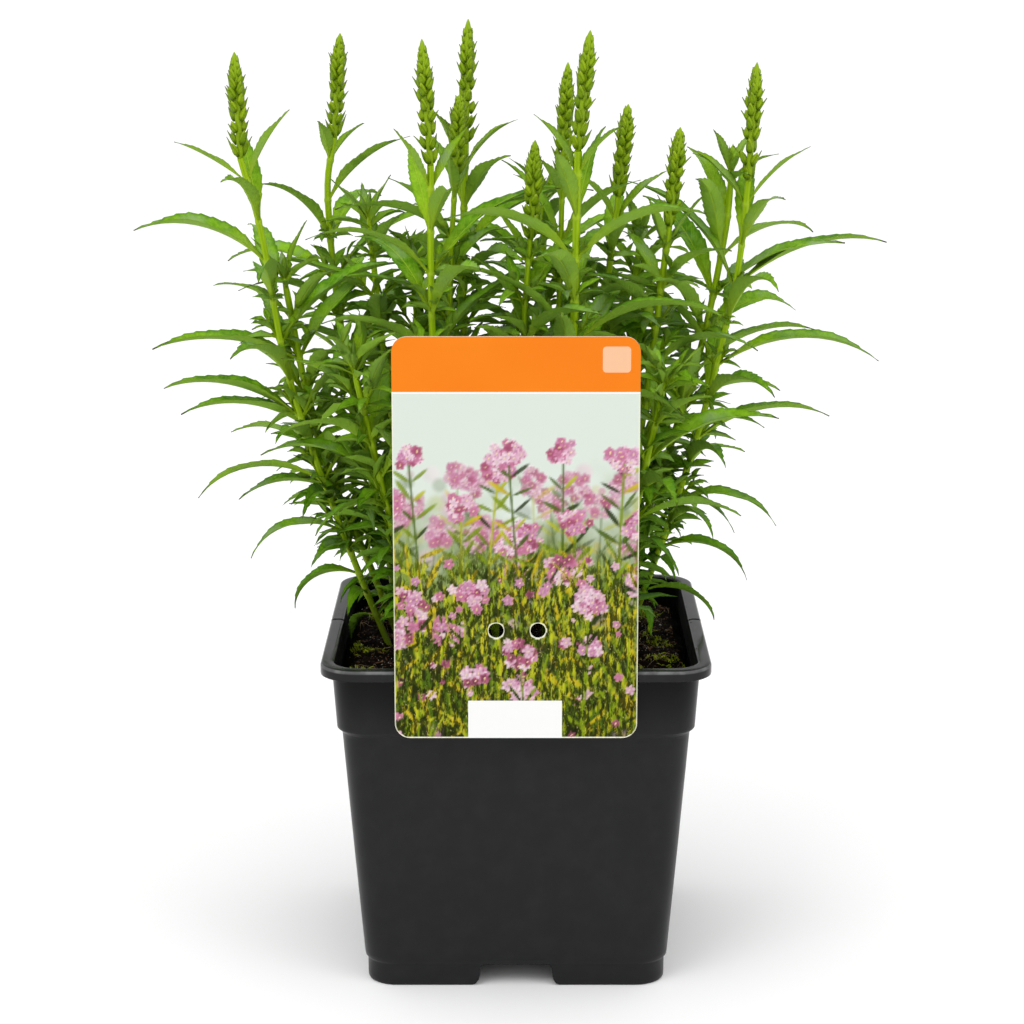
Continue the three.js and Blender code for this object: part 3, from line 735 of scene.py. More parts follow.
@dataclass
class Pot:
    """The square nursery pot, one loft up its outside, over the rim and down its inside, less its channels.

    Each row of outside and inside is a ring's half width, corner radius and height.
    """

    outside: tuple = (
        (50.2, 9.6, 0.0), (50.6, 9.8, 0.25), (50.9, 10.0, 0.9), (50.97, 10.0, 2.4), (51.0, 10.0, 7.4),
        (51.25, 10.0, 8.2), (51.8, 10.0, 8.9), (52.0, 10.0, 10.5), (55.13, 10.0, 49.5), (58.2, 10.0, 89.6),
        (58.3, 10.0, 90.9), (58.5, 10.0, 91.2), (59.65, 10.0, 92.5), (59.9, 10.0, 92.9), (59.97, 10.0, 93.9),
        (61.3, 10.0, 114.0), (63.45, 11.4, 114.0), (63.62, 11.5, 113.8), (63.7, 11.6, 112.3),
        (63.85, 11.7, 112.1), (64.7, 12.3, 112.1), (64.93, 12.45, 112.25), (65.0, 12.5, 112.6),
        (65.0, 12.5, 115.0), (64.92, 12.45, 115.35), (64.65, 12.3, 115.7), (64.25, 12.1, 115.92),
        (63.7, 11.8, 116.0), (61.6, 10.3, 116.0), (61.0, 9.8, 115.9),
    )
    inside: tuple = (
        (60.5, 9.2, 115.55), (60.2, 8.9, 115.0), (60.1, 8.8, 114.3), (60.1, 8.8, 108.5), (59.1, 8.8, 101.0),
        (58.6, 8.8, 93.2), (57.0, 8.8, 90.2), (50.95, 8.8, 9.9), (50.3, 8.6, 9.2),
    )
    channel: tuple = ((15.0, -1.0), (15.0, 0.0), (13.6, 0.9), (12.75, 2.2), (12.35, 3.8), (12.15, 6.4),
                      (11.6, 7.4), (10.8, 7.8))
    per_corner: int = 14
    channel_half: float = 61.0
    drain_radius: float = 4.0
    drain_reach: float = 30.0
    drain_span: tuple = (6.0, 12.0)
    sharp: float = 38.0

    def shell(self) -> Draft:
        """Lofts the rings of the outside and inside into one closed body."""
        half, corner, height = np.array(self.outside + self.inside).T
        flat = square_ring(half, corner, self.per_corner)
        return Draft().add_lofts(with_values(flat, height[:, None])[None])

    def cutters(self) -> list[bpy.types.Object]:
        """Makes the bodies to cut away: the channel both ways, then the five drain holes.

        Returns:
            Cutter objects. A channel is its section carried straight across, a drain an upright cylinder.
        """
        half = np.array(self.channel)
        section = np.concatenate([half, half[::-1] * (-1.0, 1.0)])
        x, z = np.broadcast_to(section.T[:, None], (2, 2, len(section)))
        y = np.repeat([[self.channel_half], [-self.channel_half]], len(section), 1)
        spots = self.drain_reach * np.array([(0, 0), (1, 0), (-1, 0), (0, 1), (0, -1)], float)
        path = np.stack([np.c_[spots, np.full(5, height)] for height in self.drain_span], 1)
        side, up = (np.broadcast_to(way, path.shape) for way in np.eye(3)[:2])
        radius = np.full(path.shape[:2], self.drain_radius)
        drains = limbs(path, side, up, radius, radius, 28)
        bodies = (np.stack([x, y, z], -1)[None], np.stack([-y, x, z], -1)[None], drains)
        return [Draft().add_lofts(rings).build("cutter", []) for rings in bodies]

    def make(self) -> None:
        """Builds the pot, takes the cutters out of it and sets it in place of its node."""
        piece = self.shell().build("nursery_pot", [PotPlastic().material()])
        for cutter in self.cutters():
            step = piece.modifiers.new("carve", "BOOLEAN")
            step.operation, step.solver, step.object = "DIFFERENCE", "EXACT", cutter
            carved = piece.evaluated_get(bpy.context.evaluated_depsgraph_get())
            carved = bpy.data.meshes.new_from_object(carved)
            piece.modifiers.clear()
            piece.data = carved
            bpy.data.objects.remove(cutter)
        piece.data.set_sharp_from_angle(angle=math.radians(self.sharp))
        place_piece(piece, Slot.POT, "pot")


@dataclass
class Soil:
    """The potting soil: a closed body with a crumbly top, and the bark, fibres and moss on it.

    Each row of wall is a ring's half width and height.
    """

    wall: tuple = ((50.5, 9.6), (56.7, 90.2), (58.3, 93.2), (58.8, 101.0), (59.1, 102.4))
    corner_share: float = 0.149
    half: float = 59.2
    top: float = 107.0
    columns: int = 352
    rows: int = 62
    reach: float = 56.7
    cushions: tuple = ((-45, -53), (-40, -46), (-34, -54), (-50, -40), (44, -52), (50, -44),
                       (38, -46), (52, -26), (42, -34), (-52, -10), (50, 4), (-30, 44), (24, 50),
                       (0, 44), (46, 40), (-48, 34))
    seed: int = 11

    def height(self, x: Array, y: Array) -> Array:
        """Gives the top's height: two crossed waves, three sizes of lattice noise, and a dip at the wall.

        Args:
            x: places across.
            y: places along.

        Returns:
            Heights.
        """
        waves = 1.1 * (np.sin(0.21 * x + 1.3) * np.cos(0.17 * y) + 0.6 * np.sin(0.37 * y - 0.29 * x))
        crumbs = 0.95 * lattice(x, y, 5.5, 1) + 0.6 * lattice(x, y, 2.4, 2)
        crumbs = crumbs + 0.4 * np.abs(lattice(x, y, 1.1, 3))
        edge = np.maximum(np.abs(x), np.abs(y)) / self.half
        return self.top + waves + crumbs - 3.2 * ease((edge - 0.93) / 0.07)

    def body(self) -> Draft:
        """Lofts the soil: the outline of a round-cornered square, scaled and lifted for each ring."""
        outline = square_ring(1.0, self.corner_share, 9)[0]
        outline = np.vstack([outline, outline[:1]])
        walked = np.r_[0.0, np.cumsum(np.linalg.norm(np.diff(outline, axis=0), axis=1))]
        even = np.linspace(0.0, walked[-1], self.columns, endpoint=False)
        ring = np.stack([np.interp(even, walked, outline[:, axis]) for axis in (0, 1)], -1)
        wall, height = np.array(self.wall).T
        flat = np.r_[wall, self.half * np.linspace(1.0, 0.006, self.rows)][:, None, None] * ring
        top = self.height(flat[len(wall):, :, 0], flat[len(wall):, :, 1])
        height = np.concatenate([np.repeat(height[:, None], self.columns, 1), top])
        return Draft().add_lofts(with_values(flat, height)[None])

    def scatter(self, count: int, draws: np.random.Generator) -> tuple[Array, Array]:
        """Draws places on the top, x then y, inside the wall."""
        return draws.uniform(-self.reach, self.reach, count), draws.uniform(-self.reach, self.reach, count)

    def bits(self, length: Array, width: Array, thick: Array, tint: Array, seed: int) -> Draft:
        """Makes loose bits on the top, turned every way: three uneven sections across a short path.

        Args:
            length: the length of each bit.
            width: its width.
            thick: its thickness.
            tint: its place between the dark and the pale colour.
            seed: which draws are used.

        Returns:
            The bits, of ten faces each.
        """
        draws = np.random.default_rng(seed)
        count = len(length)
        x, y = self.scatter(count, draws)
        heading, lean = draws.uniform(0.0, 2.0 * np.pi, count), draws.uniform(-0.5, 0.5, count)
        along, side = direction(heading, lean), level(heading)
        middle = np.stack([x, y, self.height(x, y) + 0.3 * thick], -1)
        path = middle[:, None] + (length[:, None] * np.array([-0.5, 0.1, 0.5]))[..., None] * along[:, None]
        swell = np.array([0.5, 1.0, 0.35]) * draws.uniform(0.75, 1.25, (count, 3))
        side, up = (np.broadcast_to(way[:, None], path.shape) for way in (side, np.cross(along, side)))
        rings = limbs(path, side, up, 0.5 * width[:, None] * swell, 0.5 * thick[:, None] * swell, 4, 2.6)
        return Draft().add_lofts(with_values(rings, 0, 0, 0, tint[:, None, None], 0, 0))

    def bark(self, count: int = 800) -> Draft:
        """Makes flat bark chips.

        Args:
            count: how many are drawn.

        Returns:
            Their mesh.
        """
        draws = np.random.default_rng(self.seed)
        length = 0.9 + 3.2 * draws.random(count) ** 2.8
        width = length * draws.uniform(0.3, 0.75, count)
        thick = np.minimum(width, 1.3) * draws.uniform(0.3, 0.7, count)
        return self.bits(length, width, thick, draws.random(count) ** 2, 12)

    def grains(self, count: int, size: tuple, shape: tuple, pale: float, seed: int) -> Draft:
        """Makes small grains.

        Args:
            count: how many there are.
            size: the smallest length, what the largest has over it, and the power of the draw between them.
            shape: the width and the thickness as shares of the length.
            pale: the power of the draw of the tint.
            seed: which draws are used; the grains' places take those of the next seed.

        Returns:
            The grains.
        """
        draws = np.random.default_rng(seed)
        length = size[0] + size[1] * draws.random(count) ** size[2]
        return self.bits(length, shape[0] * length, shape[1] * length, draws.random(count) ** pale, seed + 1)

    def fibres(self, count: int = 460, rows: int = 7, reach: float = 56.0) -> Draft:
        """Makes fine bent fibres that lie on the top: a heading that turns evenly, at the soil's own height.

        Args:
            count: how many there are.
            rows: the sections of each.
            reach: how far from the middle they lie at most.

        Returns:
            The fibres.
        """
        draws = np.random.default_rng(self.seed + 1)
        x, y = self.scatter(count, draws)
        length = 1.4 + 8.0 * draws.random(count) ** 2
        share = np.linspace(0.0, 1.0, rows)
        heading = draws.uniform(0.0, 2.0 * np.pi, count)[:, None]
        heading = heading + draws.uniform(-1.6, 1.6, count)[:, None] * share
        stride = (length / (rows - 1))[:, None]
        x = np.clip(x[:, None] + np.cumsum(stride * np.cos(heading), 1), -reach, reach)
        y = np.clip(y[:, None] + np.cumsum(stride * np.sin(heading), 1), -reach, reach)
        arch = draws.uniform(0.1, 0.9, count)[:, None] * np.sin(np.pi * share)
        path = np.stack([x, y, self.height(x, y) + 0.2 + arch], -1)
        up = np.broadcast_to(np.array([0.0, 0.0, 1.0]), path.shape)
        radius = draws.uniform(0.05, 0.13, count)[:, None] * (1.0 - 0.6 * share)
        rings = limbs(path, level(heading), up, radius, radius, 4)
        return Draft().add_lofts(with_values(rings, 0, 0, 0, draws.random(count)[:, None, None], 0, 0))

    def blades(self, spots: Array, length: Array, width: Array, rise: Array, bend: Array, seed: int) -> Array:
        """Makes small pointed blades that rise from the top and bend.

        Args:
            spots: their places (n, 2).
            length: their lengths (n).
            width: their widths.
            rise: their angles over the level at the foot.
            bend: how much lower they point at the tip.
            seed: which draws turn and tint them.

        Returns:
            Rings (n, 4, 4, 9), darker at the foot by the tone attribute.
        """
        draws = np.random.default_rng(seed)
        share = np.array([0.0, 0.35, 0.7, 1.0])
        heading = draws.uniform(0.0, 2.0 * np.pi, len(spots))[:, None]
        tilt = rise[:, None] - bend[:, None] * share
        stride = length[:, None] * np.diff(share, prepend=0.0)
        walked = np.cumsum(stride * np.cos(tilt), 1)
        path = np.stack([
            np.clip(spots[:, :1] + walked * np.cos(heading), -58.0, 58.0),
            np.clip(spots[:, 1:] + walked * np.sin(heading), -58.0, 58.0),
            self.height(spots[:, :1], spots[:, 1:]) - 0.2 + np.cumsum(stride * np.sin(tilt), 1),
        ], -1)
        turned = np.broadcast_to(heading, tilt.shape)
        side, along = level(turned), direction(turned, tilt)
        half = 0.5 * width[:, None] * np.array([0.5, 1.0, 0.75, 0.08])
        rings = limbs(path, side, np.cross(along, side), half, 0.3 * half, 4)
        tint = 0.6 * draws.random(len(spots))[:, None] + 0.5 * share
        return with_values(rings, 0, 0, 0, tint[..., None], 0, 0)

    def moss(self) -> Draft:
        """Makes moss in cushions of tiny blades, and sprigs of larger ones among them.

        Each row below gives tufts a cushion, their stray, blades a tuft, their stray and reach, the least and
        most of length, width, rise and bend, and the seed.
        """
        draft, draws = Draft(), np.random.default_rng(self.seed + 2)
        for tufts, wide, each, near, reach, sizes, seed in (
            (12, 3.2, 16, 0.7, 57.5, ((0.7, 1.9), (0.22, 0.42), (0.5, 1.4), (0.0, 0.8)), 21),
            (2, 3.5, 8, 0.5, 55.0, ((1.8, 4.2), (0.6, 1.1), (0.5, 1.2), (0.3, 1.2)), 22),
        ):
            feet = np.repeat(np.array(self.cushions, float), tufts, 0)
            feet = np.repeat(feet + draws.normal(0.0, wide, feet.shape), each, 0)
            feet = np.clip(feet + draws.normal(0.0, near, feet.shape), -reach, reach)
            draft.add_lofts(self.blades(feet, *(draws.uniform(*size, len(feet)) for size in sizes), seed))
        return draft

    def make(self) -> None:
        """Builds the soil in place of its node, and what lies on it."""
        place_piece(self.body().build("potting_soil", [Earth().material()]), Slot.SOIL, "soil")
        crumbs = self.grains(5200, (0.35, 0.9, 2.4), (0.8, 0.65), 1.8, self.seed + 3)
        grit = self.grains(900, (0.26, 0.5, 2.5), (0.85, 0.8), 1.0, self.seed + 4)
        for name, bits, dark, pale, roughness, slot in (
            ("bark_chips", self.bark(), (0.003, 0.0018, 0.0012), (0.090, 0.044, 0.022), 0.85, Slot.SOIL),
            ("peat_crumbs", crumbs, (0.003, 0.0018, 0.0012), (0.200, 0.110, 0.066), 0.85, Slot.SOIL),
            ("grit", grit, (0.080, 0.076, 0.068), (0.560, 0.550, 0.520), 0.85, Slot.SOIL),
            ("fibres", self.fibres(), (0.070, 0.045, 0.020), (0.420, 0.330, 0.190), 0.85, Slot.SOIL),
            ("moss", self.moss(), (0.030, 0.060, 0.002), (0.420, 0.500, 0.016), 0.6, Slot.LEAF),
        ):
            place_piece(bits.build(name, [Litter(name, dark, pale, roughness).material()]), slot)


@dataclass
class Picture:
    """The label's printed picture, of its own design: round heads of blossoms over soft greenery.

    It is painted on the points at places x across and z up, in layers from back to front.
    """

    x: Array
    z: Array
    low: float = 93.6
    high: float = 209.0
    half: float = 39.8
    seed: int = 5
    sky: Colour = (0.590, 0.645, 0.580)
    haze: Colour = (0.170, 0.230, 0.050)
    thicket: Colour = (0.018, 0.026, 0.002)
    middle: Colour = (0.80, 0.62, 0.30)
    greens: tuple = ((0.17, 0.24, 0.006), (0.06, 0.11, 0.004), (0.36, 0.38, 0.016), (0.020, 0.036, 0.003),
                     (0.46, 0.36, 0.012))
    stalks: tuple = ((0.40, 0.42, 0.014), (0.22, 0.29, 0.006), (0.48, 0.44, 0.018))
    pinks: tuple = ((0.50, 0.23, 0.37), (0.61, 0.38, 0.48), (0.33, 0.08, 0.15), (0.68, 0.51, 0.58),
                    (0.48, 0.17, 0.28))

    def __post_init__(self) -> None:
        """Starts the draws and paints thicket, haze and sky one over another, by height and slow noise."""
        self.draws = np.random.default_rng(self.seed)
        height = (self.z - self.low) / (self.high - self.low)
        height = height + 0.10 * lattice(self.x, self.z, 14.0, 21) + 0.05 * lattice(self.x, self.z, 5.0, 22)
        colour = blend(np.array(self.thicket), np.array(self.haze), ease((height - 0.08) / 0.42)[:, None])
        colour = blend(colour, np.array(self.sky), ease((height - 0.44) / 0.34)[:, None])
        dapple = lattice(self.x, self.z, 2.2, 23) * (1.0 - ease((height - 0.2) / 0.5))
        self.canvas = colour * (1.0 + 0.65 * dapple)[:, None]

    def pick(self, palette: tuple) -> Colour:
        """Draws one colour of a palette."""
        return palette[self.draws.integers(len(palette))]

    def wherever(self) -> float:
        """Draws a place across the picture."""
        return self.draws.uniform(-self.half, self.half)

    def daub(self, spot: tuple, size: tuple, turn: float, colour: Colour, cover: float, soft: float) -> None:
        """Paints one soft-edged ellipse.

        Args:
            spot: the ellipse's centre.
            size: its two half axes.
            turn: the angle of the first axis.
            colour: its colour, a little lighter towards the end of the first axis.
            cover: how much of what is under it it hides.
            soft: the share of its radius that fades out.
        """
        near = np.flatnonzero((np.abs(self.x - spot[0]) < max(size)) & (np.abs(self.z - spot[1]) < max(size)))
        right, rise = self.x[near] - spot[0], self.z[near] - spot[1]
        first = (right * math.cos(turn) + rise * math.sin(turn)) / size[0]
        second = (rise * math.cos(turn) - right * math.sin(turn)) / size[1]
        mask = cover * np.clip((1.0 - np.hypot(first, second)) / soft, 0.0, 1.0)[:, None]
        shaded = np.array(colour) * (1.0 + 0.22 * first + 0.12 * second)[:, None]
        self.canvas[near] = blend(self.canvas[near], shaded, mask)

    def blur(self, count: int = 150) -> None:
        """Paints the blurred distance: pale discs of green and pink, fewer towards the sky.

        Args:
            count: how many.
        """
        for _ in range(count):
            height = self.low + 90.0 * self.draws.random() ** 1.2
            colour = self.pick(self.pinks if self.draws.random() < 0.35 else self.greens)
            size = self.draws.uniform(1.0, 4.0)
            spot = (self.wherever(), height)
            self.daub(spot, (size, size), 0.0, colour, self.draws.uniform(0.2, 0.55), 0.5)

    def blossom(self, spot: tuple, size: float, cover: float) -> None:
        """Paints five petals round a small centre.

        Args:
            spot: its place.
            size: its radius.
            cover: how strongly it is painted.
        """
        colour = self.pick(self.pinks)
        first = self.draws.uniform(0.0, 2.0 * np.pi)
        self.daub(spot, (0.9 * size, 0.9 * size), 0.0, self.pinks[2], cover, 0.3)
        for turn in first + 2.0 * np.pi * np.arange(5) / 5.0:
            petal = (spot[0] + 0.55 * size * math.cos(turn), spot[1] + 0.55 * size * math.sin(turn))
            self.daub(petal, (0.55 * size, 0.36 * size), turn, colour, cover, 0.25)
        self.daub(spot, (0.2 * size, 0.2 * size), 0.0, self.middle, cover, 0.4)

    def plant(self, foot: float, top: float, lean: float, cover: float) -> None:
        """Paints one plant: a stem on a slight bow, slender leaves up it, and a round head of blossoms.

        Args:
            foot: where the stem leaves the bottom edge.
            top: the height of its head.
            lean: how far its head is to the right of its foot.
            cover: how strongly it is painted.
        """
        def stem(share: Array) -> Array:
            """Gives the stem's place across at shares of its height."""
            return foot + lean * share**2 + 1.5 * np.sin(3.0 * share + foot)

        draws = self.draws
        middle = stem(np.clip((self.z - self.low) / (top - self.low), 0.0, 1.0))
        on_stem = np.clip(1.6 - np.abs(self.x - middle) / 0.36, 0.0, 1.0) * (self.z < top) * cover
        self.canvas = blend(self.canvas, np.array(self.greens[draws.integers(3)]), on_stem[:, None])
        for height in np.arange(self.low + 4.0, top - 6.0, draws.uniform(5.5, 7.5)):
            root = stem((height - self.low) / (top - self.low))
            for way in (-1.0, 1.0):
                long = draws.uniform(3.0, 5.2)
                turn = math.pi / 2.0 - way * draws.uniform(0.5, 1.2)
                spot = (root + long * math.cos(turn), height + long * math.sin(turn))
                colour = self.pick(self.greens)
                self.daub(spot, (long, draws.uniform(0.6, 1.0)), turn, colour, cover, 0.35)
        radius = draws.uniform(3.6, 5.4)
        for _ in range(int(5.0 * radius)):
            angle, out = draws.uniform(0.0, 2.0 * np.pi), radius * math.sqrt(draws.random())
            spot = (stem(1.0) + out * math.cos(angle), top + 0.9 * out * math.sin(angle))
            self.blossom(spot, draws.uniform(1.3, 2.1), cover)

    def undergrowth(self) -> None:
        """Paints crossing grassy leaves, long upright stalks and single small blossoms over the low part."""
        draws = self.draws
        for _ in range(400):
            height = self.low + 60.0 * draws.random() ** 1.3
            turn = math.pi / 2.0 + draws.normal(0.0, 0.4)
            colour = self.pick(self.greens)
            spot = (self.wherever(), height)
            self.daub(spot, (draws.uniform(2.5, 8.5), draws.uniform(0.35, 0.8)), turn, colour, 0.95, 0.4)
        for _ in range(80):
            spot = (self.wherever(), self.low + 58.0 * draws.random())
            size = (draws.uniform(5.0, 12.0), draws.uniform(0.45, 0.65))
            colour = self.pick(self.stalks)
            self.daub(spot, size, math.pi / 2.0 + draws.normal(0.0, 0.12), colour, 0.95, 0.4)
        for _ in range(60):
            spot = (self.wherever(), self.low + 62.0 * draws.random())
            self.blossom(spot, draws.uniform(0.9, 2.0), 0.95)

    def colours(self) -> Array:
        """Paints the picture's other layers from back to front and gives a colour for each point (n, 3)."""
        self.blur()
        for cover, count, lowest, highest in ((0.5, 15, 150.0, 186.0), (0.92, 15, 128.0, 192.0)):
            feet = np.linspace(-self.half, self.half, count) + self.draws.normal(0.0, 1.2, count)
            for foot in self.draws.permutation(feet):
                top = self.draws.uniform(lowest, highest)
                self.plant(float(foot), top, self.draws.normal(0.0, 3.0), cover)
        self.undergrowth()
        for foot in self.draws.uniform(-self.half, self.half, 9):
            self.plant(float(foot), self.draws.uniform(108.0, 146.0), self.draws.normal(0.0, 2.0), 0.95)
        return np.clip(self.canvas, 0.0, 1.0)


@dataclass
class Label:
    """The stiff printed sheet: a fine grid with round corners and two punched holes, and its bent hook.

    Each row of hook_path is a corner's place along y and its height.
    """

    half: float = 39.8
    low: float = 93.6
    high: float = 227.2
    corner: float = 5.0
    back: float = -65.4
    thick: float = 0.8
    hole_radius: float = 2.5
    holes: tuple = (-6.5, 7.2)
    hole_height: float = 130.2
    cell: float = 0.5
    collar: float = 3.7
    edge: Colour = (0.80, 0.78, 0.62)
    edge_width: float = 0.3
    hook_path: tuple = ((-64.7, 126.5), (-64.7, 116.7), (-57.9, 116.7), (-56.9, 94.0))
    hook_bend: float = 0.7
    hook_half: float = 13.0
    sharp: float = 40.0

    def lines(self) -> tuple[Array, Array]:
        """Gives the grid's lines: shares of the width, and heights that crowd where the corners turn."""
        shares = np.linspace(-1.0, 1.0, round(2.0 * self.half / self.cell) + 1)
        arc = self.corner * (1.0 - np.cos(np.linspace(0.0, 0.5 * np.pi, 11)))
        straight = self.high - self.low - 2.0 * self.corner
        middle = self.corner + np.linspace(0.0, straight, round(straight / self.cell) + 1)[1:-1]
        return shares, self.low + np.r_[arc, middle, self.high - self.low - arc[::-1]]

    def sheet(self) -> tuple[Array, Array, list[Array]]:
        """Works out the flat sheet, whose half width shrinks along an arc at the corners.

        Each hole takes a rectangle out of the grid and fills it with rings from its edge in to the hole.

        Returns:
            Points (n, 2), quads that face the front, and the loops of its edges, the outer one first.
        """
        shares, heights = self.lines()
        rows, columns = len(heights), len(shares)
        over = np.abs(heights - (self.low + self.high) / 2.0) - ((self.high - self.low) / 2.0 - self.corner)
        reach = self.half - self.corner + np.sqrt(self.corner**2 - np.clip(over, 0.0, self.corner) ** 2)
        grid = [reach[:, None] * shares, np.repeat(heights[:, None], columns, 1)]
        points = np.stack(grid, -1).reshape(-1, 2)
        number = np.arange(rows * columns).reshape(rows, columns)
        quads = grid_quads(rows, columns, False).reshape(rows - 1, columns - 1, 4)
        keep = np.ones((rows - 1, columns - 1), bool)
        loops, patches = [self.border(number)], []
        for hole in self.holes:
            offsets = (shares * self.half - hole, heights - self.hole_height)
            left, right, below, above = (int(np.argmin(np.abs(offset - way * self.collar)))
                                         for offset in offsets for way in (-1, 1))
            keep[below:above, left:right] = False
            edge = self.border(number[below:above + 1, left:right + 1])
            centre = (hole, self.hole_height)
            away = points[edge] - centre
            rings = [centre + blend(away, self.hole_radius * unit(away), share)
                     for share in (0.45, 0.75, 0.93, 1.0)]
            numbers = np.vstack([edge, len(points) + np.arange(4 * len(edge)).reshape(4, -1)])
            points = np.concatenate([points, *rings])
            after = np.roll(numbers, -1, 1)
            patches.append(np.stack([numbers[:-1], after[:-1], after[1:], numbers[1:]], -1).reshape(-1, 4))
            loops.append(numbers[-1][::-1])
        return points, np.concatenate([quads[keep], *patches]), loops

    @staticmethod
    def border(number: Array) -> Array:
        """Walks round the edge of a block of a grid: along its first row, up, back and down."""
        return np.r_[number[0, :-1], number[:-1, -1], number[-1, :0:-1], number[:0:-1, 0]]

    def plate(self) -> Draft:
        """Closes the sheet: its front, its back, and a wall along each edge. The front carries the picture.

        Returns:
            The plate, with look 0 in front and look 1 behind and on the edges.
        """
        flat, quads, loops = self.sheet()
        colours = Picture(flat[:, 0], flat[:, 1]).colours()
        from_hole = np.min([np.hypot(flat[:, 0] - x, flat[:, 1] - self.hole_height) for x in self.holes], 0)
        over = np.maximum(np.abs(flat - (0.0, (self.low + self.high) / 2.0))
                          - (self.half - self.corner, (self.high - self.low) / 2.0 - self.corner), 0.0)
        from_edge = self.corner - np.hypot(over[:, 0], over[:, 1])
        pale = np.maximum(from_hole < self.hole_radius + self.edge_width, from_edge < self.edge_width)
        colours = blend(colours, np.array(self.edge), pale[:, None].astype(float))
        front = np.stack([flat[:, 0], np.full(len(flat), self.back - self.thick), flat[:, 1]], -1)
        values = np.concatenate([np.zeros_like(front), colours], -1)
        points = np.concatenate([np.c_[front, values], np.c_[front + (0.0, self.thick, 0.0), values]])
        walls = [np.stack([np.roll(loop, -1), loop, loop + len(flat), np.roll(loop, -1) + len(flat)], -1)
                 for loop in loops]
        faces = np.concatenate([quads, quads[:, ::-1] + len(flat), *walls])
        return Draft().add(points, faces, (np.arange(len(faces)) >= len(quads)).astype(int))

    def hook(self) -> Draft:
        """Makes the hook: a strip that goes up behind the label, over the rim and down inside it."""
        corners = np.array(self.hook_path)
        path = [corners[0]]
        for before, here, after in zip(corners, corners[1:], corners[2:]):
            start, end = (here + self.hook_bend * unit(far - here) for far in (before, after))
            for share in np.linspace(0.0, 1.0, 7):
                path.append(blend(blend(start, here, share), blend(here, end, share), share))
        path = np.array(path + [corners[-1]])
        along = unit(np.gradient(path, axis=0))
        none, size = np.zeros(len(path)), np.ones((1, len(path)))
        middle = np.stack([none, path[:, 0], path[:, 1]], -1)[None]
        up = np.stack([none, along[:, 1], -along[:, 0]], -1)[None]
        side = np.broadcast_to(np.array([1.0, 0.0, 0.0]), up.shape)
        rings = limbs(middle, side, up, self.hook_half * size, 0.5 * self.thick * size, 16, 14.0)
        return Draft().add_lofts(rings)

    def make(self) -> None:
        """Builds the label and its hook in place of their nodes."""
        back = PlainSheet("label back", (0.78, 0.78, 0.76), (0.74, 0.74, 0.72), 0.4).material()
        plate = self.plate().build("plant_label", [PrintedSheet().material(), back], self.sharp)
        place_piece(plate, Slot.LABEL, "label")
        dark = PlainSheet("hook plastic", (0.014, 0.014, 0.015), (0.020, 0.020, 0.021), 0.42).material()
        place_piece(self.hook().build("hook_strip", [dark], self.sharp), Slot.HOOK, "label_hook")


class Route:
    """A smooth line through given points, walked by its length, as the solids' stems are.

    Between points it is a cubic. Its slope at a point is half the step between the point's neighbours.
    """

    def __init__(self, knots: tuple) -> None:
        """Measures the line in 200 steps.

        Args:
            knots: the points, in millimetres.
        """
        inner = np.array(knots, float)
        self.knots = np.vstack([2.0 * inner[0] - inner[1], inner, 2.0 * inner[-1] - inner[-2]])
        self.times = np.linspace(0.0, 1.0, 201)
        steps = np.linalg.norm(np.diff(self.at_time(self.times), axis=0), axis=1)
        self.lengths = np.r_[0.0, np.cumsum(steps)]
        self.length = float(self.lengths[-1])

    def at_time(self, time: Array) -> Array:
        """Gives points on the line.

        Args:
            time: times from 0 to 1 (n), with equal time between knots.

        Returns:
            Points (n, 3).
        """
        spans = len(self.knots) - 3
        place = np.clip(time, 0.0, 1.0) * spans
        span = np.minimum(place.astype(int), spans - 1)
        share = (place - span)[:, None]
        before, start, end, after = (self.knots[span + step] for step in range(4))
        leave, arrive = 0.5 * (end - before), 0.5 * (after - start)
        square = -3.0 * start + 3.0 * end - 2.0 * leave - arrive
        cube = 2.0 * start - 2.0 * end + leave + arrive
        return start + leave * share + square * share**2 + cube * share**3

    def at_share(self, share: Array) -> tuple[Array, Array]:
        """Gives points and unit directions at shares of the line's length.

        Args:
            share: shares from 0 to 1 (n).

        Returns:
            Points (n, 3) and directions (n, 3).
        """
        time = np.interp(np.asarray(share) * self.length, self.lengths, self.times)
        ahead = self.at_time(np.minimum(time + 1e-4, 1.0)) - self.at_time(np.maximum(time - 1e-4, 0.0))
        return self.at_time(time), unit(ahead)


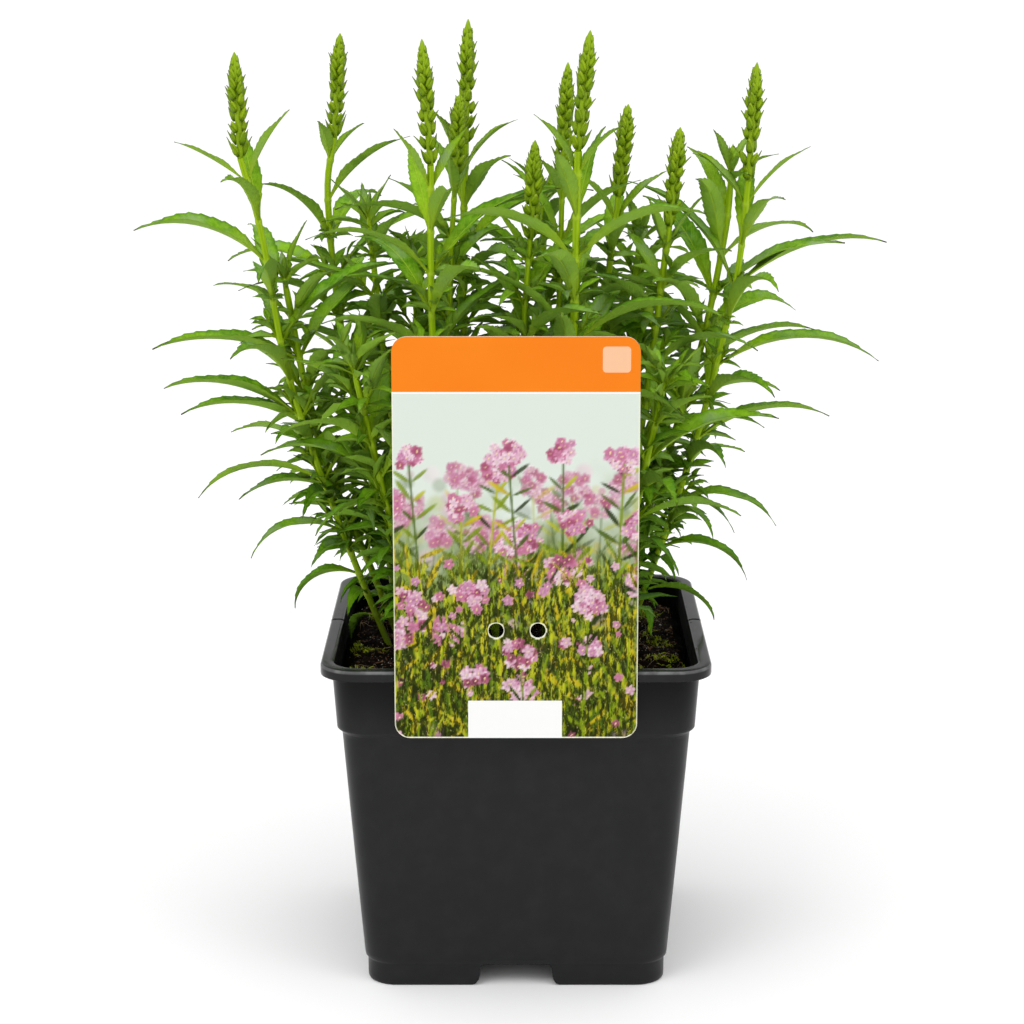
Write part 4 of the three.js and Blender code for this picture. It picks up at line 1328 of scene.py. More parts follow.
@dataclass
class Leaves:
    """Many leaves at once, one row of each array for a leaf; angles are in radians."""

    base: Array
    heading: Array
    rise: Array
    droop: Array
    sway: Array
    roll: Array
    length: Array
    width: Array
    youth: Array
    seed: Array
    shade: Array

    @classmethod
    def gather(cls, facts: list[dict]) -> "Leaves":
        """Turns a list of leaves' facts into arrays."""
        return cls(*(np.array([leaf[fact.name] for leaf in facts]) for fact in fields(cls)))

    def take(self, numbers: Array) -> "Leaves":
        """Gives the leaves of the given numbers."""
        return Leaves(*(getattr(self, fact.name)[numbers] for fact in fields(self)))

    def line(self, share: Array, steps: int = 48) -> tuple[Array, Array, Array]:
        """Follows the middle lines: a leaf sets out at its rise, and droops as the 1.2th power of the way.

        Args:
            share: shares of the leaf's length (rows), the same for all leaves.
            steps: the straight steps that the way is added up from.

        Returns:
            Points, directions and level directions across (leaves, rows, 3).
        """
        middle = (np.arange(steps) + 0.5) / steps
        stride = (self.length / steps)[:, None, None] * self.way(middle)[0]
        walked = np.concatenate([np.zeros((len(self.length), 1, 3)), np.cumsum(stride, 1)], 1)
        knots = walked + self.base[:, None]
        place = share * steps
        low = np.minimum(place.astype(int), steps - 1)
        points = blend(knots[:, low], knots[:, low + 1], (place - low)[None, :, None])
        return points, *self.way(share)

    def way(self, share: Array) -> tuple[Array, Array]:
        """Works out which way the middle lines go.

        Args:
            share: shares of the leaf's length (rows).

        Returns:
            Directions and level directions across (leaves, rows, 3).
        """
        rise = self.rise[:, None] - self.droop[:, None] * share**1.2
        heading = self.heading[:, None] + self.sway[:, None] * share**2
        return direction(heading, rise), level(heading)


@dataclass(frozen=True)
class Blade:
    """The form of a leaf's blade: a clasping root, its widest part, a long point, and forward teeth.

    Its section has four corners, the two edges and the midrib above and below.
    """

    teeth: int = 10
    before: tuple = (0.0, 0.045, 0.1)
    after: tuple = (0.998,)
    toothed: tuple = (0.16, 0.95)
    tip_of_tooth: float = 0.80
    clasp: float = 0.22
    widest: float = 0.4
    taper: float = 1.7
    depth: float = 0.055
    fold: float = 0.5
    thick: float = 0.075
    sides: tuple = (1.0, 0.0, -1.0, 0.0)
    below: tuple = (0.5, 0.0, 0.5, 1.0)

    def rows(self) -> tuple[Array, Array]:
        """Gives the shares of the length that carry a section, two a tooth, and how far out each stands."""
        feet, pitch = np.linspace(*self.toothed, self.teeth, endpoint=False, retstep=True)
        teeth = np.stack([feet, feet + self.tip_of_tooth * pitch], -1).ravel()
        out = np.r_[np.zeros(len(self.before)), np.tile([0.0, 1.0], self.teeth), np.zeros(len(self.after))]
        return np.r_[self.before, teeth, self.after], out

    def share(self, along: Array) -> Array:
        """Gives the width: eased up from the clasp to the widest part, then down as a power to the tip.

        Args:
            along: shares of the length.

        Returns:
            Shares of the full width.
        """
        rising = self.clasp + (1.0 - self.clasp) * ease(along / self.widest)
        falling = 1.0 - np.clip((along - self.widest) / (1.0 - self.widest), 0.0, 1.0) ** self.taper
        width = np.where(along < self.widest, rising, falling)
        return width * (1.0 - 0.25 * ease((along - 0.6) / 0.4)) + 0.06 * (1 - along)

    def rings(self, leaves: Leaves) -> Array:
        """Carries the blade's section along every leaf's middle line.

        The edges stand above the midrib by the fold times the half width, more or less from leaf to leaf, and
        wave gently up and down. Each tooth rises towards the tip and falls back.

        Args:
            leaves: the leaves.

        Returns:
            Rings (leaves, rows, 4, 9) with place (along, across, below) and tone (seed, youth, shade).
        """
        along, out = self.rows()
        points, ahead, flat = leaves.line(along)
        seed, width = leaves.seed[:, None], leaves.width[:, None]
        roll = (leaves.roll[:, None] + 0.7 * (seed - 0.5) * along**2)[..., None]
        side = flat * np.cos(roll) + np.cross(ahead, flat) * np.sin(roll)
        up = np.cross(ahead, side)
        half = width * (0.5 * self.share(along) + self.depth * (out - 0.5))
        wave = 0.05 * np.sin(2.0 * np.pi * (2.3 * along + 5.0 * seed)) * ease((along - 0.1) / 0.3)
        edge = half * self.fold * (0.5 + np.modf(7.0 * seed)[0]) + width * wave
        root = 1.0 + 1.3 * np.exp(-(along / 0.05) ** 2)
        rib = -self.thick * width * (0.35 + 0.65 * self.share(along)) * root
        height = np.stack([edge, 0.0 * edge, edge, rib], -1)
        reach = np.array(self.sides) * half[..., None]
        rings = points[:, :, None] + reach[..., None] * side[:, :, None] + height[..., None] * up[:, :, None]
        tone = (fact[:, None, None] for fact in (leaves.seed, leaves.youth, leaves.shade))
        return with_values(rings, along[:, None], self.sides, self.below, *tone)


FULL_BLADE = Blade()
SMALL_BLADE = Blade(teeth=0, before=(0.0, 0.12, 0.4, 0.7, 0.9), thick=0.1)


def aim(side: Array, other: Array, along: Array, turn: float, rise: float) -> tuple[Array, dict[str, float]]:
    """Leaves a line at an angle.

    Args:
        side: the first unit vector across the line.
        other: the second one.
        along: the line's own direction.
        turn: the angle round it.
        rise: how far up along it.

    Returns:
        The direction straight out from the line, and the heading and rise of the way.
    """
    out = side * math.cos(turn) + other * math.sin(turn)
    start = out * math.cos(rise) + along * math.sin(rise)
    return out, {"heading": math.atan2(start[1], start[0]), "rise": math.asin(start[2])}


@dataclass(frozen=True)
class LeafRule:
    """How leaves follow one another down a stem, and how each strays from the rule, as the solids have it."""

    length: float = 52.0
    width: float = 7.1
    root: float = 0.45
    first_under_spike: float = 8.0
    first_of_shoot: float = 2.0
    space: tuple = (8.0, 14.0)
    space_from: float = 145.0
    space_growth: float = 0.1
    young: tuple = (-5.0, 42.0)
    old: tuple = (105.0, 95.0)
    young_size: tuple = (0.34, 0.5)
    old_size: tuple = (0.4, 0.6)
    rise: tuple = (34.0, 52.0)
    droop: tuple = (100.0, 64.0)
    young_rise: float = 12.0
    young_droop: float = 0.35
    match: float = 0.05
    bends: tuple = (
        (0, 0, 1), (9, 0, 1), (-9, 0, 1), (0, 11, 1), (0, -11, 1), (16, 8, 1), (-16, 8, 1),
        (16, -9, 0.96), (-16, -9, 0.96), (25, 0, 0.94), (-25, 0, 0.94), (0, 20, 0.9), (0, -20, 0.9),
        (32, 12, 0.86), (-32, 12, 0.86), (32, -14, 0.84), (-32, -14, 0.84), (12, 26, 0.8),
        (-12, 26, 0.8), (40, 4, 0.76), (-40, 4, 0.76), (22, -22, 0.7), (-22, -22, 0.7), (0, 32, 0.62),
    )

    def place(self, stem: "Stem", lowest: float) -> tuple[list[dict], list[float]]:
        """Lists the leaves that a stem would have if nothing stood in their way.

        Args:
            stem: the stem.
            lowest: the height below which it bears none.

        Returns:
            The facts of each leaf, and the distance of each pair below the stem's end.
        """
        leaves, pairs = [], []
        below = self.first_under_spike if stem.tip else self.first_of_shoot
        while True:
            point, along = (values[0] for values in stem.route.at_share([1.0 - below / stem.route.length]))
            if point[2] < lowest:
                return leaves, pairs
            grown = float(ease((below - self.young[0]) / self.young[1]))
            fresh = float(ease((point[2] - self.old[0]) / self.old[1]))
            size = [blend(small, 1.0, grown) * blend(old, 1.0, fresh)
                    for small, old in zip(self.young_size, self.old_size)]
            rise = blend(*self.rise, fresh) + self.young_rise * (1.0 - grown)
            droop = blend(*self.droop, fresh) * blend(self.young_droop, 1.0, grown)
            for half in (0, 1):
                item = 2 * len(pairs) + half
                stray = stem.strays(item, 0, 7)
                turn = math.radians(stem.turn + 90.0 * len(pairs) + 180.0 * half + 9.0 * stray[0])
                out, way = aim(*across(along), along, turn, math.radians(rise + 7.0 * stray[1]))
                leaves.append(way | {
                    "base": point + out * self.root,
                    "droop": math.radians(droop + 14.0 * stray[2]),
                    "sway": math.radians(16.0 * stray[3]),
                    "roll": math.radians(22.0 * stray[4]),
                    "length": self.length * stem.leaf * size[0] * (1.0 + 0.1 * stray[5]),
                    "width": self.width * size[1] * (1.0 + 0.09 * stray[6]),
                    "youth": 1.0 - grown,
                    "seed": chance(stem.index, item, 7),
                    "shade": 0.0,
                })
            pairs.append(below)
            step = self.space[0] + (point[2] - self.space_from) * self.space_growth
            below += min(max(step, self.space[0]), self.space[1])

    def grown(self, leaves: Leaves, solid: Array) -> Leaves:
        """Bends the leaves as their solids are bent, and leaves out those that the solids leave out.

        Each way of bending gives a tip. The right one is where the solid has a corner at that tip.

        Args:
            leaves: the leaves as the rule has them.
            solid: the corners of the stem's CAD node, in millimetres.

        Returns:
            The bent leaves.
        """
        count, ways = len(leaves.length), len(self.bends)
        bends = np.tile(np.array(self.bends, float), (count, 1))
        every = leaves.take(np.repeat(np.arange(count), ways))
        every.heading = every.heading + np.radians(bends[:, 0])
        every.rise = every.rise + np.radians(bends[:, 1])
        every.length = every.length * bends[:, 2]
        tips = every.line(np.array([1.0]))[0][:, 0]
        away = np.array([np.min(np.sum((solid - tip) ** 2, 1)) for tip in tips]).reshape(count, ways)
        best = np.argmin(away, 1)
        return every.take((np.arange(count) * ways + best)[away[np.arange(count), best] < self.match**2])


LEAF_RULE = LeafRule()


@dataclass
class Stem:
    """One leafy stem: a four-sided tube on its route, its leaves, and small shoots where leaves meet it.

    Each row of shoot and crown describes a pair of small leaves.
    """

    index: int
    knots: tuple
    low: float
    turn: float
    leaf: float
    tip: tuple | None = None
    thick: float = 1.0
    low_half: float = 1.08
    top_half: float = 1.0
    columns: int = 12
    foliage_foot: float = 116.0
    heart: float = -7.0
    shoot: tuple = ((0.25, 0.55, 16.0, 4.8, 0.1), (0.62, 0.75, 14.0, 4.2, 0.1), (1.0, 1.05, 10.0, 3.2, 0.35))
    crown: tuple = ((5.0, 36.0, 0.9, 22.0, 5.0, 0.4), (3.2, 48.0, 0.7, 17.0, 4.2, 0.6),
                    (1.6, 60.0, 0.5, 12.5, 3.4, 0.8), (0.5, 76.0, 0.3, 9.0, 2.4, 1.0))
    sharp: float = 60.0

    def __post_init__(self) -> None:
        """Works out the route and the number that its node's name has."""
        self.route = Route(self.knots)
        self.number = f"{self.index + 1:02d}"

    def strays(self, item: int, first: int, count: int) -> list[float]:
        """Draws numbers between -1 and 1 for one leaf, starting at a given draw."""
        return [2.0 * chance(self.index, item, first + number) - 1.0 for number in range(count)]

    def tube(self, pairs: list[float]) -> Array:
        """Carries a rounded square along the route, thinner upwards, with a swollen ring at each pair.

        Args:
            pairs: the distance of each pair of leaves below the stem's end.

        Returns:
            Rings (1, rows, columns, 9) with place (share, rib, ring) and tone (seed, share, painted shade near
            the soil).
        """
        rings = self.route.length - np.array(pairs)
        spots = (rings[:, None] + np.array([-1.6, -0.8, -0.3, 0.3, 0.8, 1.6])).ravel()
        spots = spots[(spots > 0.2) & (spots < self.route.length - 0.2)]
        walked = np.unique(np.round(np.r_[np.linspace(0.0, self.route.length, 48), spots], 2))
        share = np.clip(walked / self.route.length, 0.0, 1.0)
        points, along = self.route.at_share(share)
        side, other = across(along)
        turn = math.radians(self.turn)
        flat = side * math.cos(turn) + other * math.sin(turn)
        swell = np.exp(-(((walked[:, None] - rings) / 0.75) ** 2)).max(1)
        half = blend(self.low_half, self.top_half, share) * self.thick * (1.0 + 0.20 * swell)
        if self.tip is None:
            half = half * (1.0 - 0.6 * ease((walked - self.route.length + 6.0) / 6.0))
        over = np.cross(along, flat)
        made = limbs(points[None], flat[None], over[None], half[None], half[None], self.columns, 4.5)
        rib = 0.5 - 0.5 * np.cos(8.0 * np.pi * np.arange(self.columns) / self.columns)
        # painted shade: the stem darkens below 145 mm, where the foliage shades it
        foot_shade = ease((145.0 - points[:, 2:]) / 38.0)
        share = share[:, None]
        return with_values(made, share, rib, swell[:, None], chance(self.index, 0, 9), share, foot_shade)

    def shoots(self, facts: list[dict]) -> tuple[list[dict], Array]:
        """Grows side shoots between leaves and stem: larger in the heart of the plant, none near the top.

        Args:
            facts: the facts of the stem's leaves.

        Returns:
            The facts of the shoots' small leaves, and the rings of the shoots' own stalks.
        """
        small, stalks = [], []
        for item, leaf in enumerate(facts):
            base = leaf["base"]
            inner = 1.0 - float(ease((abs(base[0] - self.heart) - 57.0) / 26.0))
            size = (1.0 - 0.9 * float(ease((base[2] - 205.0) / 70.0))) * blend(0.45, 1.0, inner)
            size *= 0.7 + 0.5 * chance(self.index, item, 21)
            is_low = base[2] < (135.0 if abs(base[0]) > 40.0 else 120.0)
            if is_low or size < 0.3 or chance(self.index, item, 20) > blend(0.5, 0.95, inner):
                continue
            flat = np.array([math.cos(leaf["heading"]), math.sin(leaf["heading"]), 0.0])
            ahead = unit(flat * (0.45 + 0.4 * chance(self.index, item, 22)) + (0.0, 0.0, 1.0))
            side, other = across(ahead)
            stalk = 11.0 * size
            stalks.append([base - ahead, base + stalk * ahead, side])
            for pair, (at, rise, length, width, youth) in enumerate(self.shoot):
                for half in (0, 1):
                    stray = self.strays(item, 30 + 12 * pair + 6 * half, 6)
                    turn = 0.5 * math.pi * pair + math.pi * half + 0.5 * stray[0]
                    small.append(leaf | aim(side, other, ahead, turn, rise + 0.2 * stray[1])[1] | {
                        "base": base + ahead * stalk * at,
                        "droop": 0.7 + 0.4 * stray[2],
                        "sway": 0.4 * stray[3],
                        "roll": 0.5 * stray[4],
                        "length": length * size * (1.0 + 0.25 * stray[5]),
                        "width": width * (0.5 + 0.5 * size),
                        "youth": youth,
                        "seed": chance(self.index, item, 29 + 2 * pair + half),
                    })
        if not stalks:
            return small, np.zeros((0, 2, 4, WIDTH))
        stalks = np.array(stalks)
        side = np.repeat(stalks[:, 2:], 2, 1)
        up = np.cross(unit(stalks[:, 1:2] - stalks[:, :1]), side)
        radius = np.broadcast_to([0.62, 0.32], (len(stalks), 2))
        rings = limbs(stalks[:, :2], side, up, radius, radius, 4)
        # the shoots' stalks take 0.3 of the stem's painted shade
        return small, with_values(rings, 0.5, 0.4, 0.0, 0.5, 0.5, 0.3)

    def top_leaves(self, like: dict) -> list[dict]:
        """Gives the young leaves about the end of a stem that bears no spike, the inmost the smallest.

        Args:
            like: the facts of one of the stem's leaves.

        Returns:
            Their facts.
        """
        end, along = (values[0] for values in self.route.at_share([1.0]))
        leaves = []
        for item in range(2 * len(self.crown)):
            below, rise, droop, length, width, youth = self.crown[item // 2]
            stray = self.strays(item, 70, 5)
            turn = math.radians(self.turn + 45.0 + 90.0 * (item // 2) + 180.0 * (item % 2) + 12.0 * stray[0])
            _, way = aim(*across(along), along, turn, math.radians(rise + 6.0 * stray[1]))
            leaves.append(like | way | {
                "base": end - along * below,
                "droop": droop + 0.2 * stray[2],
                "sway": 0.3 * stray[3],
                "length": length * (1.0 + 0.15 * stray[4]),
                "width": width,
                "youth": youth,
                "seed": chance(self.index, item, 69),
            })
        return leaves

    def make(self, skins: Skins) -> None:
        """Builds the stem with its leaves in place of its node, and the finer growth that the solid lacks.

        Args:
            skins: the stem's and the leaves' materials.
        """
        facts, pairs = LEAF_RULE.place(self, self.foliage_foot)
        for leaf in facts:
            x, _, z = leaf["base"]
            depth = 0.24 * float(ease((235.0 - z) / 110.0)) + 0.34 * float(ease((180.0 - z) / 50.0))
            leaf["shade"] = depth * float(ease((78.0 - abs(x)) / 40.0))
        large = [leaf for leaf in facts if leaf["base"][2] > self.low]
        little = [leaf | {"length": 0.66 * leaf["length"], "width": 0.72 * leaf["width"]}
                  for leaf in facts if leaf["base"][2] <= self.low]
        shoots, stalks = self.shoots(facts)
        if self.tip is None:
            shoots += self.top_leaves(facts[0])
        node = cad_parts[f"stem_{self.number}"]
        solid = np.zeros(3 * len(node.data.vertices))
        node.data.vertices.foreach_get("co", solid)
        leaves = LEAF_RULE.grown(Leaves.gather(large), solid.reshape(-1, 3) / MM)
        draft = Draft().add_lofts(self.tube(pairs)).add_lofts(stalks)
        draft.add_lofts(FULL_BLADE.rings(leaves), 1)
        draft.add_lofts(SMALL_BLADE.rings(Leaves.gather(little + shoots)), 1)
        log.info("stem %s: %d of %d leaves", self.number, len(leaves.length), len(large))
        piece = draft.build(f"leafy_stem_{self.number}", skins, self.sharp)
        place_piece(piece, Slot.LEAF, f"stem_{self.number}")


@dataclass
class Spike:
    """A flower spike in bud: an axis, buds in four rows, each over a bract, and a cone of the youngest.

    The rows of bud and bract are the shares of the length that carry a section, and the width at each.
    """

    number: str
    base: Array
    tip: Array
    seed: int
    buds_end: float = 0.915
    cone_start: float = 0.80
    cone_radius: float = 1.6
    axis_radius: float = 1.05
    front: float = 45.0
    reach: float = 1.0
    bud: tuple = ((0.0, 0.14, 0.36, 0.62, 0.84, 1.0), (0.42, 0.85, 1.0, 0.84, 0.46, 0.05))
    bract: tuple = ((0.0, 0.18, 0.42, 0.68, 0.86, 1.0), (0.75, 1.0, 0.90, 0.56, 0.26, 0.05))

    def __post_init__(self) -> None:
        """Works out the spike's own directions and its draws."""
        self.length = float(np.linalg.norm(self.tip - self.base)) + self.reach
        self.along = unit(self.tip - self.base)
        self.side, self.other = across(self.along)
        self.draws = np.random.default_rng(self.seed)

    def levels(self) -> Array:
        """Gives the heights of the pairs as shares of the length: wide steps at first, narrow ones above."""
        heights = [0.03]
        while heights[-1] < self.buds_end:
            step = blend(0.112, 0.045, float(ease((heights[-1] - 0.18) / 0.42)))
            heights.append(heights[-1] + step - 0.016 * float(ease((heights[-1] - 0.62) / 0.25)))
        return np.array(heights[:-1])

    def core(self, share: Array) -> Array:
        """Gives the axis's radius, which swells to the cone's and falls with a power of the way up the cone.

        Args:
            share: shares of the length.

        Returns:
            Radii.
        """
        cone = np.clip((share - self.cone_start) / (1.0 - self.cone_start), 0.0, 1.0)
        swell = ease((share - self.cone_start + 0.14) / 0.14)
        return blend(self.axis_radius, self.cone_radius, swell) * (1.0 - 0.995 * cone**1.9) ** 0.72

    def stalk(self) -> Array:
        """Makes the axis with the smooth cone on it."""
        cone = blend(self.cone_start, 1.0, np.linspace(0.08, 0.995, 12))
        share = np.r_[np.linspace(0.0, self.cone_start, 14), cone]
        radius = self.core(share)[None]
        path = (self.base + share[:, None] * self.length * self.along)[None]
        side, other = (np.broadcast_to(way, path.shape) for way in (self.side, self.other))
        young = blend(0.7, 1.0, ease((share - 0.55) / 0.35))[:, None]
        return with_values(limbs(path, side, other, radius, radius, 12), 0.5, 0.5, 0.0, 0.9, young, 0.0)

    def pairs(self) -> tuple[Array, Array]:
        """Gives the height share and the angle of each bud, two a level, each level a quarter turn on."""
        heights = self.levels()
        first = math.radians(self.front + self.draws.uniform(-18.0, 18.0))
        angle = first + 0.5 * np.pi * np.arange(len(heights))[:, None] + np.pi * np.arange(2)
        return np.repeat(heights, 2), (angle + self.draws.normal(0.0, 0.15, angle.shape)).ravel()

    def grow(self, size: dict[str, Array], share: Array) -> tuple[Array, Array, Array]:
        """Follows short lines that leave the axis and bend.

        Args:
            size: the lines' height, angle round the axis, lean away from it, further bend, length and root.
            share: the shares of the lines to give (rows).

        Returns:
            Points, side vectors and up vectors (lines, rows, 3).
        """
        angle = size["angle"][:, None, None]
        out = np.cos(angle) * self.side + np.sin(angle) * self.other
        tilt = (size["lean"][:, None] + size["bend"][:, None] * share)[..., None]
        ahead = np.cos(tilt) * self.along + np.sin(tilt) * out
        step = size["length"][:, None, None] * np.diff(share, prepend=0.0)[None, :, None]
        foot = self.base + size["height"][:, None] * self.length * self.along
        start = foot + size["root"][:, None] * out[:, 0]
        side = np.broadcast_to(np.cross(out, self.along), ahead.shape)
        return start[:, None] + np.cumsum(step * ahead, 1), side, np.cross(ahead, side)

    def sizes(self) -> dict[str, Array]:
        """Gives the buds' places and sizes: smaller, closer to the axis and more upright towards the cone."""
        height, angle = self.pairs()
        up = np.clip(height / self.buds_end, 0.0, 1.0)
        shrink = 1.0 - 0.50 * ease((height - 0.60) / 0.38)
        low = 1.0 - ease((height - 0.05) / 0.2)
        on_cone = ease((height - 0.70) / 0.2)
        lean = np.radians(blend(33.0, 25.0, up) - 32.0 * on_cone + self.draws.normal(0.0, 3.0, len(up)))
        return {
            "height": height,
            "angle": angle,
            "low": low,
            "lean": lean,
            "bend": -0.35 * lean,
            "length": blend(4.8, 4.0, up) * shrink * self.draws.uniform(0.86, 1.10, len(up)),
            "radius": 1.38 * shrink * self.draws.uniform(0.9, 1.06, len(up)) * (1.0 - 0.10 * low),
            "root": blend(self.axis_radius, 0.84 * self.core(height), on_cone),
        }

    def buds(self, size: dict[str, Array]) -> Array:
        """Makes the buds: plump pointed bodies along short lines that bend back to the axis.

        Args:
            size: the buds' places and sizes.

        Returns:
            Rings (buds, 6, 6, 9).
        """
        share, plump = np.array(self.bud)
        radius = size["radius"][:, None] * plump
        rings = limbs(*self.grow(size, share), radius, 0.92 * radius, 6)
        seed = self.draws.random(len(radius))[:, None, None]
        young = ease((size["height"] - 0.6) / 0.3)[:, None, None]
        return with_values(rings, share[:, None], np.arange(6) / 6.0, 0.0, seed, young, 0.0)

    def bracts(self, size: dict[str, Array]) -> Array:
        """Makes the bracts: pointed blades over the outer sides of the buds, whose thin tips turn out.

        Args:
            size: the buds' places and sizes.

        Returns:
            Rings (bracts, 6, 4, 9).
        """
        share, width = np.array(self.bract)
        low, radius = size["low"], size["radius"]
        lines = self.grow(size | {
            "height": size["height"] - 0.012,
            "lean": size["lean"] * 1.05,
            "length": size["length"] * (1.10 + 0.5 * low) * self.draws.uniform(0.92, 1.15, len(low)),
            "bend": np.radians(self.draws.uniform(-4.0, 14.0, len(low))),
            "root": size["root"] + 0.42 * radius * (1.0 - low),
        }, share)
        half = (0.86 * radius * (1.0 + 0.15 * low))[:, None] * width
        seed = self.draws.random(len(low))[:, None, None]
        rings = limbs(*lines, half, 0.12 + 0.22 * half, 4)
        return with_values(rings, share[:, None], 0.0, 1.0, seed, 0.1, 0.0)

    def make(self, skins: Skins) -> None:
        """Builds the spike in place of its node.

        Args:
            skins: its material.
        """
        size = self.sizes()
        draft = Draft().add_lofts(self.stalk()).add_lofts(self.buds(size)).add_lofts(self.bracts(size))
        place_piece(draft.build(f"bud_spike_{self.number}", skins), Slot.BUD, f"flower_spike_{self.number}")


STEMS = (
    (((-38, 0, 90), (-57.9, 0, 141), (-77.4, -4, 202), (-85.7, -7, 252), (-92.3, -8, 278)),
     116, 0, 1.02, (-93.5, -8, 312.3), 1.0),
    (((32, -1, 90), (48.6, 0, 137.5), (60.4, 2, 173), (68.6, 3, 204), (76, 4, 239), (79, 5, 269)),
     116, 0, 1.1, (81.2, 5, 308.1), 1.0),
    (((-20, -15, 90), (-24, -18, 150), (-28, -22, 222), (-28.2, -22, 277)),
     190, 25, 1, (-30.7, -22, 317.3), 1.0),
    (((14, -16, 90), (17, -20, 150), (19.3, -25, 222), (20.4, -25, 282)),
     190, -18, 1, (24.1, -25, 320.3), 1.2),
    (((-11, 9, 90), (-15, 10, 150), (-18.3, 12, 227), (-17.2, 12, 281)), 190, 32, 1, (-16.2, 12, 322.1), 1.0),
    (((-38, 20, 90), (-44.4, 22, 126), (-60.5, 28, 207), (-66.1, 34, 259), (-63.6, 35, 281)),
     168, 62, 0.86, (-61.1, 35, 316.2), 1.0),
    (((26, -10, 90), (38, -6, 150), (47.6, 0, 218), (52, 0, 254)), 168, 40, 0.92, (55.3, 0, 286.8), 1.0),
    (((21, 9, 90), (26, 10, 150), (30, 10, 217), (35, 10, 263)), 182, 10, 0.92, (38.1, 10, 293.7), 1.0),
    (((9, 4, 90), (12, 4, 150), (14.5, 5, 218), (15.8, 5, 270)), 200, 55, 0.9, (17.5, 5, 308.1), 0.8),
    (((0, -12, 90), (2, -15, 150), (2.7, -18, 221), (4.8, -18, 252)), 190, -35, 0.88, (6.3, -18, 284.1), 0.8),
    (((-18, 1, 90), (-21, 0, 150), (-22.5, 1, 228), (-20.6, 1, 271)), 225, 70, 0.8, (-19, 1, 297.7), 0.8),
    (((-35, 8, 90), (-50.7, 6.5, 132), (-68.6, 3, 180), (-79.3, -1, 238)), 150, 40, 1, None, 1.0),
    (((30, 9, 90), (43.5, 7.5, 143), (54.4, 9, 178), (64.5, 11, 212), (72, 13, 250), (74, 14, 272)),
     150, 48, 0.98, None, 1.0),
    (((-31, 14, 90), (-36, 16, 130), (-44.4, 19, 190), (-51.3, 20, 256)), 188, 5, 0.92, None, 1.0),
    (((5, 22, 90), (6, 26, 150), (9, 32, 215), (10, 36, 262)), 152, 20, 0.93, None, 1.0),
    (((-6, -22, 90), (-8, -29, 150), (-9, -37, 198)), 144, 45, 0.9, None, 1.0),
    (((24, 21, 90), (32, 28, 150), (40, 35, 205), (44, 39, 247)), 150, 50, 0.92, None, 1.0),
    (((-22, 26, 90), (-28, 30, 150), (-34, 33, 205), (-37, 33, 242)), 150, -5, 0.79, None, 1.0),
    (((28, -21, 90), (38, -28, 150), (49, -36, 207)), 144, 15, 1, None, 1.0),
    (((-29, -15, 90), (-41, -23, 150), (-54, -33, 212)), 144, 60, 0.95, None, 1.0),
)


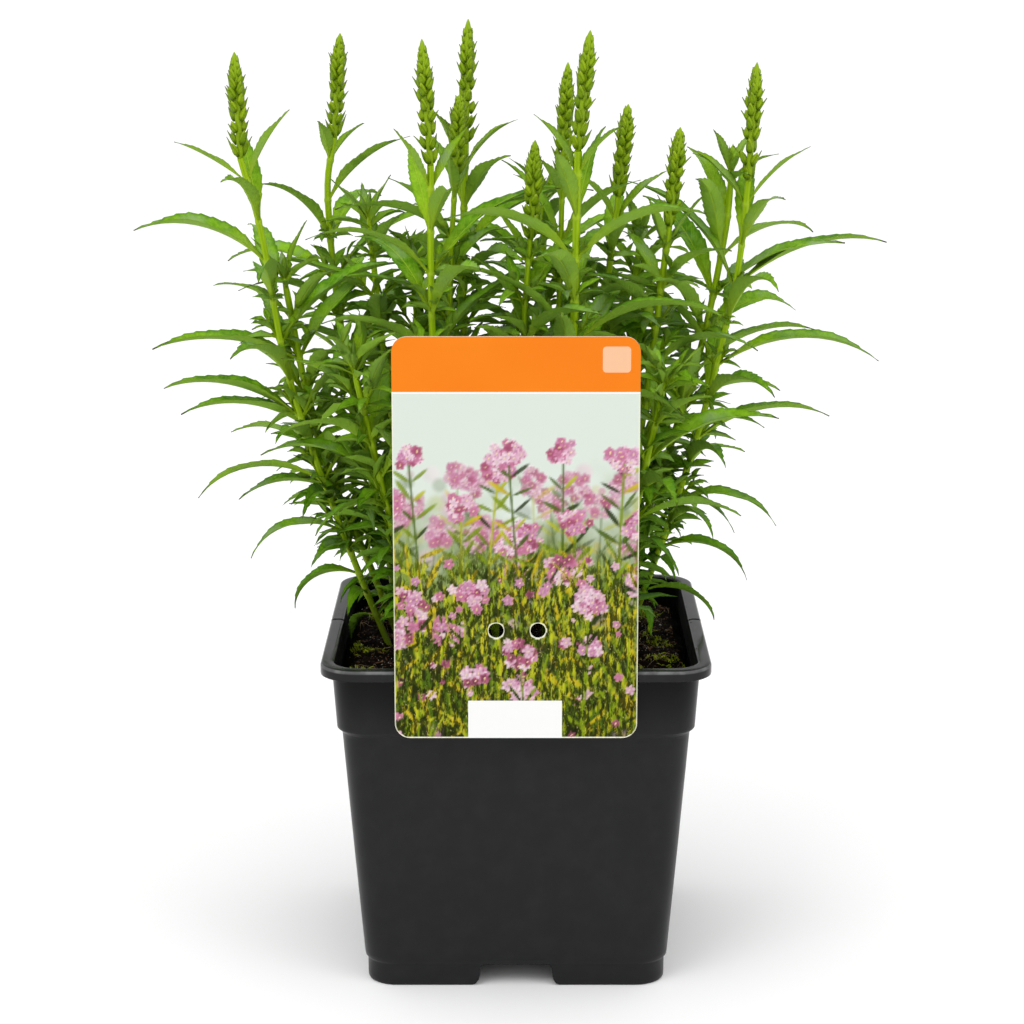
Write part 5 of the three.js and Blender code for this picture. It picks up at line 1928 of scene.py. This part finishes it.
@dataclass(frozen=True)
class Studio:
    """The pale floor, soft lights and the camera, in metres. Pixel values are for a picture of 1024 by 1024.

    A lamp is given by its spot, the point that it faces, its side and its power in watts.
    """

    picture: float = 1024.0
    focal: float = 2718.7
    middle_column: float = 516.0
    sensor: float = 36.0
    eye: tuple = (0.0, -0.9215, 0.3674)
    pitch: float = 13.0
    key: tuple = ((-0.9, -1.3, 1.7), (0.0, 0.0, 0.18), 0.9, 7.0)
    fill: tuple = ((1.3, -1.0, 1.0), (0.0, 0.0, 0.15), 0.8, 3.5)
    sun_power: float = 1.6
    sun_spread: float = 110.0
    sun_turn: tuple = (22.0, -6.0, 0.0)
    room_light: float = 0.66
    room_seen: float = 1.05
    floor_reach: float = 8000.0

    def stand(self, name: str, data: bpy.types.ID, spot: tuple, turn: tuple) -> bpy.types.Object:
        """Links an object to the scene.

        Args:
            name: its name.
            data: the camera or light that it holds.
            spot: where it is.
            turn: its turns in radians.

        Returns:
            The object.
        """
        item = bpy.data.objects.new(name, data)
        item.location, item.rotation_euler = spot, turn
        bpy.context.scene.collection.objects.link(item)
        return item

    def camera(self) -> None:
        """Sets up the camera: its lens is the focal length over the picture's width, times the sensor's."""
        data = bpy.data.cameras.new("camera")
        data.sensor_width = self.sensor
        data.lens = self.focal / self.picture * self.sensor
        data.shift_x = (0.5 * self.picture - self.middle_column) / self.picture
        data.clip_start, data.clip_end = 0.05, 20.0
        turn = (math.radians(90.0 - self.pitch), 0.0, 0.0)
        bpy.context.scene.camera = self.stand("camera", data, self.eye, turn)

    def lamp(self, name: str, spot: tuple, aim_at: tuple, size: float, power: float) -> None:
        """Adds a square soft light.

        Args:
            name: its name.
            spot: where it is.
            aim_at: the point that it faces.
            size: its side.
            power: its power in watts.
        """
        data = bpy.data.lights.new(name, "AREA")
        data.size, data.energy = size, power
        turn = (Vector(aim_at) - Vector(spot)).to_track_quat("-Z", "Y").to_euler()
        self.stand(name, data, spot, turn)

    def sun(self) -> None:
        """Adds even light over the whole floor, from above and a little from the front left."""
        data = bpy.data.lights.new("overhead", "SUN")
        data.energy, data.angle = self.sun_power, math.radians(self.sun_spread)
        self.stand("overhead", data, (0.0, 0.0, 0.0), tuple(math.radians(angle) for angle in self.sun_turn))

    def world(self) -> None:
        """Fills the room with even light, and shows it as white behind the object."""
        room = bpy.data.worlds.new("room")
        sheet = Sheet("room", room)
        seen = sheet.wire("LightPath", "Is Camera Ray", {})
        inputs = {"Value": seen, "To Min": self.room_light, "To Max": self.room_seen}
        strength = sheet.wire("MapRange", 0, inputs)
        light = sheet.wire("Background", 0, {"Color": (1.0, 1.0, 1.0, 1.0), "Strength": strength})
        sheet.node("OutputWorld", {"Surface": light})
        bpy.context.scene.world = room

    def floor(self) -> None:
        """Lays a wide pale floor under the pot."""
        corners = self.floor_reach * np.array([(-1, -1, 0), (1, -1, 0), (1, 1, 0), (-1, 1, 0)], float)
        skin = Sheet("pale floor").close((0.95, 0.95, 0.95), 0.8, None, Specular_IOR_Level=0.1)
        Draft().add(corners, np.array([[0, 1, 2, 3]])).build("floor", [skin])

    def make(self) -> None:
        """Sets up floor, room, lights, camera and how colours are shown."""
        self.floor()
        self.world()
        self.lamp("key", *self.key)
        self.lamp("fill", *self.fill)
        self.sun()
        self.camera()
        bpy.context.scene.view_settings.view_transform = "Standard"


def main() -> None:
    """Builds the classes in order."""
    logging.basicConfig(level=logging.INFO, format="%(message)s")
    for piece in (Studio(), Pot(), Soil(), Label()):
        piece.make()
    stem_skins = [StemSkin().material(), LeafSkin().material()]
    bud_skins = [BudSkin().material()]
    for index, facts in enumerate(STEMS):
        stem = Stem(index, *facts)
        stem.make(stem_skins)
        if stem.tip:
            base = stem.route.at_share([1.0])[0][0]
            Spike(stem.number, base, np.array(stem.tip, float), index + 40).make(bud_skins)


if __name__ == "__main__":
    main()
